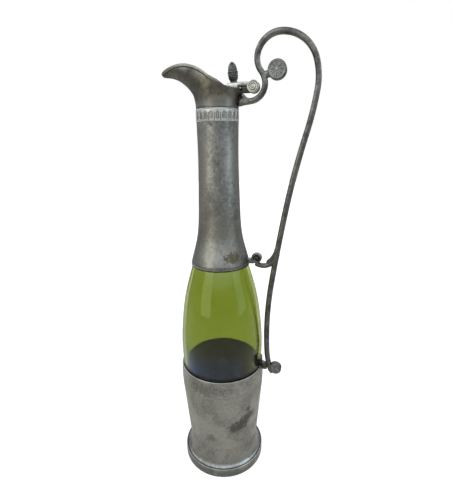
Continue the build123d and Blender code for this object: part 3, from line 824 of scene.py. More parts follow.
# darkens the whole foot band towards its bottom edge
BAND_DARKER_BELOW = ColourPatch((0.0, 0.0, 3.0), (75.0, 75.0, 9.5), (0.13, 0.135, 0.13), 0.75, 0.9)
# lighter patch on the front of the spout just above the leaf band
SPOUT_LIGHTER_FRONT = ColourPatch((2.0, -14.0, 333.0), (30.0, 14.0, 9.0), (0.32, 0.32, 0.30), 0.6, 0.3, 60.0)
# near-black painted shadow in the gap between the hinge leaf and the handle's root bracket
NOTCH_PAINTED_SHADOW = ColourPatch((20.2, -3.0, 340.0), (2.6, 3.0, 1.7), (0.008, 0.007, 0.006), 1.0, 0.3, 300.0)
PEWTERS = (
    Pewter("pewter_foot", (0.37, 0.367, 0.335), (0.22, 0.218, 0.198), cover=0.4, stains_and_painted_light=(BAND_DARKER_BELOW,)),
    Pewter("pewter_cup", (0.41, 0.405, 0.366), (0.25, 0.247, 0.222), clouds=38.0, stains_and_painted_light=CUP_STAINS),
    Pewter("pewter_sleeve", (0.36, 0.355, 0.325), (0.135, 0.132, 0.12), clouds=30.0, blotches=85.0,
           cover=0.46, stains_and_painted_light=SLEEVE_STAINS_AND_REFLECTION),
    Pewter("pewter_frieze", (0.42, 0.418, 0.382), (0.27, 0.268, 0.243), cover=0.34, oxide_strength=0.3),
    Pewter("pewter_spout", (0.20, 0.19, 0.152), (0.08, 0.076, 0.06), clouds=50.0, cover=0.5,
           oxide_strength=0.55, stains_and_painted_light=(SPOUT_LIGHTER_FRONT,)),
    Pewter("pewter_handle", (0.20, 0.194, 0.174), (0.07, 0.067, 0.059), clouds=70.0, blotches=190.0,
           cover=0.47, stains_and_painted_light=(NOTCH_PAINTED_SHADOW,)),
    # brighter pewter of the pin caps and the strap: rubbed metal with a painted highlight
    Pewter("pewter_rubbed_highlit", (0.58, 0.57, 0.51), (0.27, 0.26, 0.222), clouds=120.0, blotches=260.0,
           rough=0.38),
    Pewter("pewter_flower", (0.27, 0.27, 0.245), (0.15, 0.148, 0.132), clouds=120.0, blotches=300.0,
           rough=0.42),
    Pewter("pewter_acorn", (0.13, 0.127, 0.115), (0.05, 0.048, 0.042), clouds=120.0, blotches=260.0,
           cover=0.5, rough=0.34),
)


@dataclass
class Finishes:
    """Every material of the flagon, made once."""

    def __post_init__(self) -> None:
        """Builds the shared groups and the materials."""
        groups = {"tarnish": tarnish_group(), "patch": patch_group()}
        (self.foot, self.cup, self.sleeve, self.frieze, self.spout, self.handle, self.bright, self.flower,
         self.acorn) = (pewter.material(groups) for pewter in PEWTERS)
        self.glass = GreenGlass("bottle_glass").material()
        self.plaster = Plaster("setting_plaster").material()
        self.brass = Brass("pin_brass").material()


# ---- Foot, cup and bottle ----------------------------------------------------------------


@dataclass
class Base:
    """Foot ring and base cup."""

    finishes: Finishes
    band_height: float = 9.3
    step: float = 1.3
    waist_inset: float = 5.4
    wall: float = 1.2
    foot_wall: float = 2.0
    shoulder: float = 24.0
    groove: float = 16.5
    groove_depth: float = 0.2
    fainter: float = 22.6
    fainter_depth: float = 0.14
    segments: int = 240

    def waist(self) -> float:
        """Outer radius where the foot meets the cup."""
        return high("foot_ring")[0] - self.waist_inset

    def foot(self) -> Shell:
        """Foot ring: a plain band, a narrow step, then a flare that is a spline up to the waist."""
        radius, top = high("foot_ring")[0], low("base_cup")[2]
        band_top, waist = self.band_height, self.waist()
        seat = high("base_disc")[0] + 0.05
        flare = smooth_line([(radius - self.step, band_top), (waist + 2.75, band_top + 1.5),
                             (waist + 1.5, band_top + 4.2), (waist + 0.65, band_top + 8.2),
                             (waist + 0.15, top - 6.0), (waist, top)], 30)
        band = eased([(seat, 0), (radius - 0.7, 0), (radius, 0.8), (radius, band_top - 0.5),
                      (radius - 0.5, band_top), (radius - self.step + 0.25, band_top - 0.3)],
                     0.35, closed=False)
        inner = waist - self.wall - 0.05
        inside = [(inner, top), (inner, top + 4.9), (inner - 0.6, top + 4.9),
                  (waist - self.foot_wall, top - 9), (seat - 1.6, band_top - 2.5), (seat - 1.6, 2.05),
                  (seat, 2.05)]
        profile = finer(np.vstack([band, flare, inside]), 1.6)
        r, z = profile.T
        # painted shade in the crease at the top of the band, and a painted highlight on the band's upper
        # edge
        relief = -0.75 * bell(z - band_top + 0.1, 0.5) * (r > waist + 2) * (r < radius - 0.7)
        relief += 0.35 * bell(z - band_top + 0.6, 0.5) * (r > radius - 0.55)
        return turned(profile, self.segments, True, relief)

    def outside(self, z: np.ndarray) -> np.ndarray:
        """Cup's outer radius: straight up to the shoulder, then a shallow parabola to the rim.

        Args:
            z: Heights.

        Returns:
            The radius at each height.
        """
        low_z, rim = low("base_cup")[2], high("base_cup")[2]
        waist = self.waist()
        shoulder, rim_radius = rim - self.shoulder, waist + 5.1
        slope = (rim_radius - 0.3 - waist) / (shoulder - low_z)
        above = np.maximum(z - shoulder, 0)
        sag = (slope * self.shoulder - 0.3) / self.shoulder**2
        straight = slope * (np.minimum(z, shoulder) - low_z)
        return waist - 0.02 + straight + slope * above - sag * above**2

    def cup(self) -> Shell:
        """Cup wall with a cut line, a fainter line below it and a small rolled rim.

        The radius is the plain outside less a Gaussian at each line's height.
        """
        low_z, rim = low("base_cup")[2], high("base_cup")[2]
        groove, fainter = rim - self.groove, rim - self.fainter
        z = np.sort(np.concatenate([np.linspace(low_z + 0.05, rim - 0.9, 60),
                                    groove + np.linspace(-1, 1, 17),
                                    fainter + np.linspace(-0.8, 0.8, 11)]))
        cut, faint = bell(z - groove, 0.38), bell(z - fainter, 0.3)
        depth = self.groove_depth * cut + self.fainter_depth * faint
        outer = np.stack([self.outside(z) - depth, z], 1)
        edge = self.outside(np.array([rim]))[0]
        q = np.linspace(-0.3, np.pi + 0.1, 12)
        lip = np.stack([edge - self.wall / 2 + (self.wall / 2 + 0.02) * np.cos(q),
                        rim - 0.62 + 0.6 * np.sin(q)], 1)
        back = np.linspace(rim - 1.4, low_z + 0.05, 40)
        inner = np.stack([self.outside(back) - self.wall, back], 1)
        profile = np.vstack([outer, lip, inner])
        # painted highlight just below each line, painted shade in the lines, painted shade over the lip
        # towards the glass, and painted shade on the inner wall
        below = bell(z - groove + 0.65, 0.3) + 0.6 * bell(z - fainter + 0.5, 0.3)
        relief = np.concatenate([0.14 * below - 0.18 * cut - 0.06 * faint,
                                 np.linspace(0.1, -0.4, len(lip)), np.full(len(inner), -0.62)])
        return turned(profile, self.segments, True, relief)

    def build(self) -> None:
        """Makes the foot and the cup and dresses the disc and the plaster bed."""
        finish_mesh("foot", self.foot(), Body.FLAGON, self.finishes.foot, ("foot_ring",))
        finish_mesh("cup", self.cup(), Body.FLAGON, self.finishes.cup, ("base_cup",))
        dress("base_disc", self.finishes.foot)
        dress("base_plaster", self.finishes.plaster)


def dress(node: str, material: bpy.types.Material) -> None:
    """Gives a CAD node that stays shown its finish.

    Args:
        node: The node's name.
        material: Its finish.
    """
    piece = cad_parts[node]
    piece.data.materials.clear()
    piece.data.materials.append(material)


@dataclass
class Bottle:
    """Green glass bottle with a pushed-up base."""

    finishes: Finishes
    wall: float = 2.6
    punt: float = 43.0
    sides: tuple[tuple[float, float], ...] = (
        (36.09, 7.0), (37.25, 20.0), (37.55, 44.0), (38.0, 64.0), (36.6, 87.03), (33.28, 110.52),
        (24.75, 141.8), (18.25, 163.7), (16.2, 178.0), (14.4, 225.0), (14.1, 266.0))

    def surface(self) -> Shell:
        """Closed glass body: a spline outside, the same line less the wall inside, and the punt."""
        base = low("glass_bottle")[2]
        top = high("glass_bottle")[2] - 0.02
        outer = np.array(self.sides) + [0, base]
        outer[-1, 1] = top
        inner = outer - [self.wall, 0]
        inner[-1, 0] = outer[-1, 0] - 2.2
        outside = smooth_line(outer, 130)
        inside = smooth_line(inner, 130)[::-1]
        heel = outer[0, 0] - 4.6
        under = smooth_line([(0, base + self.punt), (3.0, base + 0.93 * self.punt),
                             (8.4, base + 0.58 * self.punt), (18.0, base + 0.24 * self.punt),
                             (heel - 3.0, base + 0.8)], 44)
        above = smooth_line([(heel - 2.0, base + 3.6), (19.5, base + 0.31 * self.punt),
                             (11.0, base + 0.62 * self.punt), (4.5, base + 0.96 * self.punt),
                             (0, base + self.punt + self.wall)], 44)
        foot = np.array([(heel - 1.6, base + 0.1), (heel, base + 0.05), (heel + 2.2, base + 1.6),
                         (outer[0, 0] - 0.7, base + 4.4)])
        turn = np.array([(inner[0, 0] - 0.9, inner[0, 1] - 1.8), (heel + 0.2, base + 3.9)])
        lip = np.array([(outside[-1, 0] - 0.4, top), (inside[0, 0] + 0.4, top)])
        profile = np.vstack([under, foot, outside, lip, inside, turn, above])
        return turned(profile, 192, False)

    def build(self) -> None:
        """Makes the bottle."""
        finish_mesh("bottle", self.surface(), Body.FLAGON, self.finishes.glass,
                    ("glass_bottle",), 60.0)


# ---- Neck --------------------------------------------------------------------------------


@dataclass
class Neck:
    """Pewter sleeve on the bottle's neck and the band of leaves at its top."""

    finishes: Finishes
    wall: float = 0.9
    leaves: int = 22
    beads: int = 88
    clearance: float = 0.2
    backing: float = 0.65
    columns: int = 760
    shape: tuple[tuple[float, float], ...] = (
        (26.0, 0.016), (24.35, 0.069), (20.65, 0.184), (18.6, 0.304), (17.65, 0.479), (16.8, 0.699),
        (16.7, 0.87), (16.95, 1.0))

    def sleeve(self) -> Shell:
        """Sleeve: a spline outside, less the wall inside, with a rolled lower edge and a collar."""
        bottom, band, top = low("neck_sleeve")[2], low("frieze_band")[2], high("neck_sleeve")[2]
        knots = np.array(self.shape) * [1, band - bottom] + [0, bottom]
        outer = smooth_line(knots, 110)
        collar = high("frieze_band")[0] - self.clearance - self.backing - 0.05
        q = np.linspace(-0.5 * np.pi, 0.5 * np.pi, 9)
        roll = np.stack([knots[0, 0] - 0.62 + 0.6 * np.cos(q), bottom + 0.9 + 0.9 * np.sin(q)], 1)
        neck = np.array([(collar, band + 0.02), (collar, top), (collar - self.wall, top),
                         (collar - self.wall, band - 3)])
        inside = outer[::-1][6:] - [self.wall, 0]
        close = np.array([(knots[0, 0] - self.wall, bottom + 0.3)])
        profile = np.vstack([roll, outer[1:], neck, inside, close])
        # painted shade under the rolled lower edge, just above it, and on the inside
        relief = np.zeros(len(profile))
        relief[:6] = -1.0
        relief[-1:] = -1.0
        relief[9:11] = -0.2
        relief[-len(inside):] = -0.5
        return turned(profile, 200, True, relief)

    def frieze(self) -> Shell:
        """Band of upright leaves between two rows of beads.

        Round the band, u is the distance from a leaf's middle. A leaf is a column that ends in
        a pointed arch of two circles, and d is the distance inside its outline. Its border is a
        Gaussian ridge at d = 0.36, its middle is hollow with a fine rib, and outside it the
        ground is sunk below and rises in a wedge between the points of two leaves.
        """
        low_z, high_z = low("frieze_band")[2], high("frieze_band")[2]
        inner = -low("frieze_band")[0] - self.clearance - self.backing
        ground = inner + 0.55
        a = angles(self.columns)
        z = np.linspace(low_z, high_z, 62)[:, None]
        period = 2 * np.pi * ground / self.leaves
        u = (np.mod(a / (2 * np.pi) * self.leaves, 1.0) - 0.5) * period
        tall = z - low_z - 1.15
        half, spring, bend = 0.455 * period, 3.3, 3.2
        rise = np.maximum(tall - spring, 0)
        d = half + bend - np.sqrt((np.abs(u) + bend) ** 2 + rise**2)
        d = np.minimum(d, tall + 0.1)
        inside = np.clip(d / 0.2 + 0.5, 0, 1)
        border = bell(d - 0.36, 0.24)
        rib = bell(u, 0.2) * np.clip((d - 0.7) / 0.3, 0, 1)
        wedge = (1 - inside) * np.clip((tall - 4.9) / 0.8, 0, 1)
        carved = -0.3 * (1 - inside) + 0.3 * border + 0.12 * rib + 0.5 * wedge
        rows = np.clip(bell(z - low_z - 0.5, 0.42) + bell(high_z - z - 0.5, 0.42), 0, 1)
        bead = np.sqrt(np.abs(np.cos(a * self.beads / 2)))
        inner_part = np.clip(np.minimum(z - low_z - 0.95, high_z - z - 0.95) / 0.15, 0, 1)
        height = inner_part * carved + rows * (0.5 * bead - 0.12)
        hollow = np.clip((d - 0.55) / 0.3, 0, 1)
        # painted shade on the sunk ground and in the hollows, rubbed wear with painted highlights on
        # borders, ribs, wedges and beads; the back is painted shade
        tone = -0.4 * (1 - inside) - 0.36 * hollow + 0.5 * border + 0.25 * rib + 1.3 * wedge
        relief = np.clip(inner_part * tone + rows * (0.7 * bead - 0.3), -1, 1)
        back = circled(inner, np.array([[high_z], [low_z]]), a)
        return Shell.grid(np.concatenate([circled(ground + height, z, a), back]), True, True,
                          np.concatenate([relief, np.full((2, self.columns), -0.8)]))

    def build(self) -> None:
        """Makes the sleeve and the band and dresses the plaster inside."""
        finish_mesh("sleeve", self.sleeve(), Body.FLAGON, self.finishes.sleeve,
                    ("neck_sleeve",))
        finish_mesh("leaf_band", self.frieze(), Body.FLAGON, self.finishes.frieze,
                    ("frieze_band",), 75.0)
        dress("neck_plaster", self.finishes.plaster)


# ---- Spout and lid -----------------------------------------------------------------------


@dataclass
class Spout:
    """Beaked spout: an elliptical tube that turns towards -X and is cut along its rim line."""

    finishes: Finishes
    wall: float = 1.3
    reach: float = 48.0
    lip: float = 0.42
    columns: int = 240
    sections: tuple[tuple[float, float, float, float], ...] = (
        (0.0, 0.0, 17.0, 17.0), (6.0, 0.9, 17.9, 17.7), (11.0, 2.8, 19.8, 19.2), (18.0, 3.5, 20.5, 20.9),
        (25.0, 3.0, 20.7, 21.2), (31.0, 1.6, 20.0, 20.2), (42.0, -2.5, 17.1, 16.9), (54.0, -7.0, 13.6, 12.0),
        (68.0, -12.0, 9.9, 7.3), (78.0, -15.5, 7.1, 4.9), (83.0, -16.1, 6.0, 3.2), (86.0, -16.4, 4.0, 1.5))
    rim: tuple[tuple[float, float], ...] = (
        (21.6, 13.4), (14.5, 13.2), (5.0, 17.4), (-6.0, 25.4), (-18.0, 30.7), (-30.0, 32.1), (-40.0, 30.2),
        (-47.0, 27.2))

    def rim_height(self, x: np.ndarray, drop: float) -> np.ndarray:
        """Height of the rim line at x, lowered by drop: a spline through its points."""
        line = smooth_line(np.array(self.rim), 400)[::-1]
        return np.interp(x, line[:, 0], line[:, 1]) + low("spout")[2] - drop

    def place(self, turn: np.ndarray, around: np.ndarray, inset: np.ndarray) -> np.ndarray:
        """Points of the tube.

        At turn t the section's centre is reach + shift from the line it turns about, and its
        half sizes are splines of t less inset. A point is centre + across * tall * cos(around)
        + Y * wide * sin(around).

        Args:
            turn: Turn in degrees, any shape.
            around: Angle round the section in radians, the same shape.
            inset: Distance inside the outer surface, the same shape or a number.

        Returns:
            Points with one more axis of length 3.
        """
        table = np.array(self.sections)
        values = smooth_values(table[:, 0], table[:, 1:], turn)
        angle = np.radians(turn)
        out = self.reach + values[..., 0] + (values[..., 1] - inset) * np.cos(around)
        wide = np.maximum(values[..., 2] - inset, 0.2)
        return np.stack([out * np.cos(angle) - self.reach, wide * np.sin(around),
                         low("spout")[2] + out * np.sin(angle)], -1)

    def cut(self, around: np.ndarray, inset: float, drop: float, last: float) -> np.ndarray:
        """Turn at which each line round the tube meets the lowered rim.

        Args:
            around: Row of angles round the section.
            inset: Distance inside the outer surface.
            drop: Depth below the rim line.
            last: Turn to give where a line never meets it.

        Returns:
            One turn in degrees for each angle.
        """
        turn = np.linspace(2.0, last, 500)[:, None]
        points = self.place(turn + 0 * around, around + 0 * turn, inset)
        above = points[..., 2] - self.rim_height(points[..., 0], drop)
        first = np.argmax(above > 0, 0)
        first = np.where((above > 0).any(0), np.maximum(first, 1), len(turn) - 1)
        column = np.arange(around.shape[-1])
        a, b = above[first - 1, column], above[first, column]
        share = np.clip(-a / np.where(np.abs(b - a) < 1e-9, 1.0, b - a), 0, 1)
        return turn[first - 1, 0] + share * (turn[first, 0] - turn[first - 1, 0])

    def surface(self) -> Shell:
        """Spout's wall, with a thickened lip that fades towards the hinge.

        The outer surface stands out by lip where the distance under the rim is below 2 mm, and
        is cut in a little just under that.
        """
        around = angles(self.columns)
        rows = (1 - (1 - np.linspace(0, 1, 110)) ** 1.8)[:, None]
        end = self.cut(around, 0.0, 0.0, 86.0)[None, :]
        turn = rows * end
        points = self.place(turn, around + 0 * turn, 0.0)
        under = np.maximum(self.rim_height(points[..., 0], 0.0) - points[..., 2], 0) * 0.9
        fade = np.clip((8.0 - points[..., 0]) / 9.0, 0, 1) * np.clip(turn / 14, 0, 1)
        lip = self.lip / (1 + np.exp((under - 1.95) / 0.12)) * fade
        line = bell(under - 2.3, 0.28) * fade
        near_tip = np.clip((points[..., 0] + 46.2) / 3, 0, 1)
        outer = self.place(turn, around + 0 * turn, 0.04 - (lip - 0.16 * line) * near_tip)
        inner_end = self.cut(around, self.wall, 0.0, 83.2)[None, :]
        back = rows[::-2]
        inner = self.place(back * inner_end, around + 0 * back, self.wall)
        over = (outer[-1] + inner[0]) / 2 + [0, 0, 0.02]
        # rubbed wear with painted highlights on the lip and its top; painted shade in the cut line under the
        # lip, on the inside and in the joint above the leaf band
        relief = np.concatenate([0.75 * lip / self.lip - 0.95 * line, np.full((1, self.columns), 0.8),
                                 np.full((len(inner), self.columns), -0.25)])
        relief[:2] = -0.35
        grid = np.concatenate([outer, over[None], inner])
        return Shell.grid(grid, True, True, relief)

    def lid(self, gap: float = 0.45, drop: float = 0.9, thickness: float = 1.4) -> Shell:
        """Lid plate inside the rim: ruled across from side to side, with a low crown on top.

        Args:
            gap: Clearance to the spout's wall.
            drop: Depth of the top below the rim line.
            thickness: Thickness at the edge.

        Returns:
            The closed plate.
        """
        around = np.linspace(0.0, np.pi, 90)[None, :]
        inset = self.wall + gap
        top = self.place(self.cut(around, inset, drop, 82.0)[None, :], around, inset)[0]
        low_edge = self.place(self.cut(around, inset, drop + thickness, 82.0)[None, :], around, inset)[0]
        rows = 40
        across = np.sin(np.linspace(-np.pi / 2, np.pi / 2, rows))[:, None]
        crown = 0.35 * (1 - across**2) * np.clip(top[:, 1] / 10, 0, 1)
        upper = np.stack([top[:, 0] + 0 * across, top[:, 1] * across, top[:, 2] + crown - 0.02], -1)
        lower = np.stack([low_edge[:, 0] + 0 * across, low_edge[:, 1] * across * 0.995,
                          low_edge[:, 2] + 0 * across], -1)
        grid = np.concatenate([upper, lower[::-1]])
        relief = np.zeros(grid.shape[:2])
        relief[[0, rows - 1, rows, 2 * rows - 1]] = 0.4
        return capped(grid, relief, (upper[:, 0], lower[:, 0]), (lower[:, -1], upper[:, -1]))

    def build(self) -> None:
        """Makes the spout and the lid plate."""
        finish_mesh("beaked_spout", self.surface(), Body.FLAGON, self.finishes.spout,
                    ("spout",), 70.0)
        finish_mesh("lid", self.lid(), Body.LID, self.finishes.spout, ("lid_plate",), 40.0)


@dataclass
class Hinge:
    """Knuckles, pin, caps, the lid's strap and the acorn thumbpiece."""

    finishes: Finishes
    spout: Spout
    knuckle: float = 4.1
    lean: float = 6.0

    def centre(self) -> np.ndarray:
        """Middle of the hinge pin."""
        return middle("hinge_pin")

    def drum(self, radius: float, start: float, end: float) -> Shell:
        """Knuckle: a short cylinder along Y with eased edges.

        Args:
            radius: Its outer radius.
            start: Y of its first end.
            end: Y of its other end.

        Returns:
            The closed surface.
        """
        profile = eased(np.array([(1.26, start), (radius, start), (radius, end), (1.26, end)]), 0.35)
        shell = turned(finer(profile, 0.9), 64)
        return placed(shell, self.centre(), np.array([0, 1, 0]))

    def leaf(self) -> Shell:
        """Two outer knuckles and the tongue that joins them to the spout."""
        x, _, z = self.centre()
        back = high("spout")[0]
        shells = self.drum(self.knuckle, 1.62, 3.32) + self.drum(self.knuckle, -3.32, -1.62)
        tongue = [(back - 1.6, z - 3.9), (back - 1.6, z - 0.1), (x - 4.7, z - 0.2), (x - 3.4, z - 1.6),
                  (x - 1.4, z - 2.0), (x - 1.4, z - 3.9)]
        # painted shade on the flat faces of the leaf's arms
        arm = slab(finer(eased(tongue, 0.4), 0.6), 0.8, 0.3, -0.5)
        for aside in (2.47, -2.47):
            shells = shells + Shell(arm.points + [0, aside, 0], arm.faces, arm.relief)
        return shells

    def cap(self, side: int) -> Shell:
        """Cap on the pin's end: a shallow button with a spiral cut in its face.

        The face's height is a low dome less a groove where the angle plus 2 pi r / pitch is an
        odd number of half turns, so the groove winds by one pitch a turn.

        Args:
            side: Direction along Y that the face looks, 1 or -1.

        Returns:
            The closed surface.
        """
        x, _, z = self.centre()
        base, radius, pitch, columns = 3.34, 4.35, 1.5, 96
        r = np.linspace(0, 1, 40)[:, None] ** 0.9 * radius
        a = angles(columns)
        phase = np.mod(a / (2 * np.pi) + r / pitch, 1.0)
        share = np.clip((r - 0.7) / 0.5, 0, 1) * np.clip((4.2 - r) / 0.4, 0, 1)
        groove = bell(phase - 0.5, 0.17) * share
        face = 0.62 - 0.1 * (r / radius) ** 2 - 0.3 * groove
        # painted shade in the spiral groove; rubbed wear with a painted highlight on the face between its
        # turns and on the rim
        relief = -0.55 * groove + 0.25 * (1 - groove)
        rim = np.array([(4.5, base + 0.34), (4.53, base + 0.2), (4.45, base), (0.0, base)])
        grid = np.concatenate([circled(r, base + face, a), circled(rim[:, :1], rim[:, 1:], a)])
        values = np.concatenate([relief, np.full((3, columns), 0.3), np.zeros((1, columns))])
        return placed(Shell.grid(grid, False, True, values), (x, 0, z), np.array([0, float(side), 0]))

    def strap(self) -> Shell:
        """Lid's strap: a loft along X with superellipses between the lid and its top line.

        The top line and the half width are splines of x. The nose and the end at the knuckle
        close to a point. A thin web below it runs between the two arms of the leaf.
        """
        x0, x1 = low("lid_strap")[0], self.centre()[0] - 1.0
        top_z = high("lid_strap")[2]
        x = x0 + (x1 - x0) * (1 - np.cos(np.linspace(0, np.pi, 60))) / 2
        top = curve((x0, x0 + 2, x0 + 5, x0 + 12, x1), (-2.2, -1.2, -0.4, -0.05, -0.35), x) + top_z
        floor = np.maximum(self.spout.rim_height(x, 0.95), self.centre()[2] - 3.9)
        floor = np.where(x > x0 + 12.3, np.maximum(floor, top_z - 3.9), floor)
        half = curve((x0, x0 + 1.5, x0 + 4, x0 + 8.5, x0 + 13, x0 + 17, x1),
                     (1.3, 2.3, 2.9, 3.0, 2.8, 2.2, 1.45), x)
        shrink = np.sqrt(np.clip(1 - ((x - (x0 + x1) / 2) / ((x1 - x0) / 2)) ** 14, 0, 1))
        a = angles(40)
        c, s = rounded(np.cos(a), 0.55), rounded(np.sin(a), 0.62)
        mid, tall = ((top + floor) / 2)[:, None], ((top - floor) / 2 * shrink)[:, None]
        grid = np.stack([x[:, None] + 0 * a, (half * shrink)[:, None] * c, mid + tall * s], -1)
        # painted light: the top of the strap lighter and its underside darker
        relief = np.clip(s * 0.5, -0.3, 0.5) + 0 * x[:, None]
        centre = self.centre()
        back, low_z = high("spout")[0] + 0.12, centre[2] - 1.6
        front, high_z = centre[0] - 3.0, top_z - 2.5
        web = eased([(back, low_z), (front, low_z), (front, high_z), (back, high_z)], 0.1)
        # painted shade on the web between the arms
        web = slab(finer(web, 0.8), 1.4, 0.1, -0.6)
        return Shell.grid(grid, False, True, relief) + self.drum(self.knuckle, -1.5, 1.5) + web

    def acorn(self) -> Shell:
        """Acorn: a scaled cup below, a ridge at its widest and a smooth nut above.

        The cup's radius carries rows of scales: a product of half waves whose phase shifts by
        half a scale from one row to the next.
        """
        base, top = self.spout_top(), high("acorn_thumbpiece")[2]
        height = (top - base) / math.cos(math.radians(self.lean)) - 0.15
        cup = smooth_line([(2.3, -0.6), (2.35, 0.5), (3.3, 0.17 * height), (3.78, 0.34 * height),
                           (3.85, 0.465 * height)], 44)
        ridge = np.array([(4.02, 0.48 * height), (4.08, 0.497 * height), (4.0, 0.515 * height),
                          (3.7, 0.525 * height)])
        nut = smooth_line([(3.62, 0.53 * height), (3.55, 0.62 * height), (3.2, 0.74 * height),
                           (2.4, 0.87 * height), (1.2, 0.955 * height), (0.45, 0.985 * height)], 30)
        tip = np.array([(0.3, height), (0.0, height + 0.02)])
        profile = np.vstack([[(0.0, -0.6)], cup, ridge, nut, tip])
        a = angles(120)
        r, z = profile[:, :1], profile[:, 1:]
        row = (z - 0.6) / 1.15
        turn = a / (2 * np.pi) * 14 + 0.5 * np.mod(np.floor(row), 2)
        scale = np.abs(np.sin(np.pi * turn)) ** 0.6 * np.abs(np.sin(np.pi * np.mod(row, 1))) ** 0.6
        on_cup = np.zeros(len(profile))
        on_cup[5:44] = 1
        # painted shade between the cup's scales and at the foot of the nut above the ridge; rubbed wear with
        # painted highlights on the scales and the ridge
        relief = (scale * 1.5 - 0.9) * on_cup[:, None]
        relief[45:49] = 1.0
        relief[49:51] = -0.7
        radius = r + 0.26 * (scale - 0.6) * on_cup[:, None]
        axis = np.array([-math.sin(math.radians(self.lean)), 0, math.cos(math.radians(self.lean))])
        foot = np.array([self.centre()[0] - 15.5, 0, base])
        return placed(Shell.grid(circled(radius, z, a), False, True, relief), foot, axis)

    def spout_top(self) -> float:
        """Height of the acorn's foot: just inside the strap's top."""
        return float(high("lid_strap")[2] - 0.45)

    def build(self) -> None:
        """Makes the hinge's pieces and dresses the pin."""
        dark, bright = self.finishes.acorn, self.finishes.bright
        for name, shell, body, slot, finish, node, crease in (
                ("hinge_knuckles", self.leaf(), Body.FLAGON, Slot.HANDLE, dark, "hinge_leaf", 50.0),
                ("pin_cap_near", self.cap(-1), Body.FLAGON, Slot.HANDLE, bright, "hinge_cap_near", 70.0),
                ("pin_cap_far", self.cap(1), Body.FLAGON, Slot.HANDLE, bright, "hinge_cap_far", 70.0),
                ("strap", self.strap(), Body.LID, Slot.HANDLE, bright, "lid_strap", 60.0),
                ("acorn", self.acorn(), Body.LID, Slot.PEWTER, dark, "acorn_thumbpiece", 60.0)):
            finish_mesh(name, shell, body, finish, (node,), crease)
        dress("hinge_pin", self.finishes.brass)


# ---- Handle ------------------------------------------------------------------------------


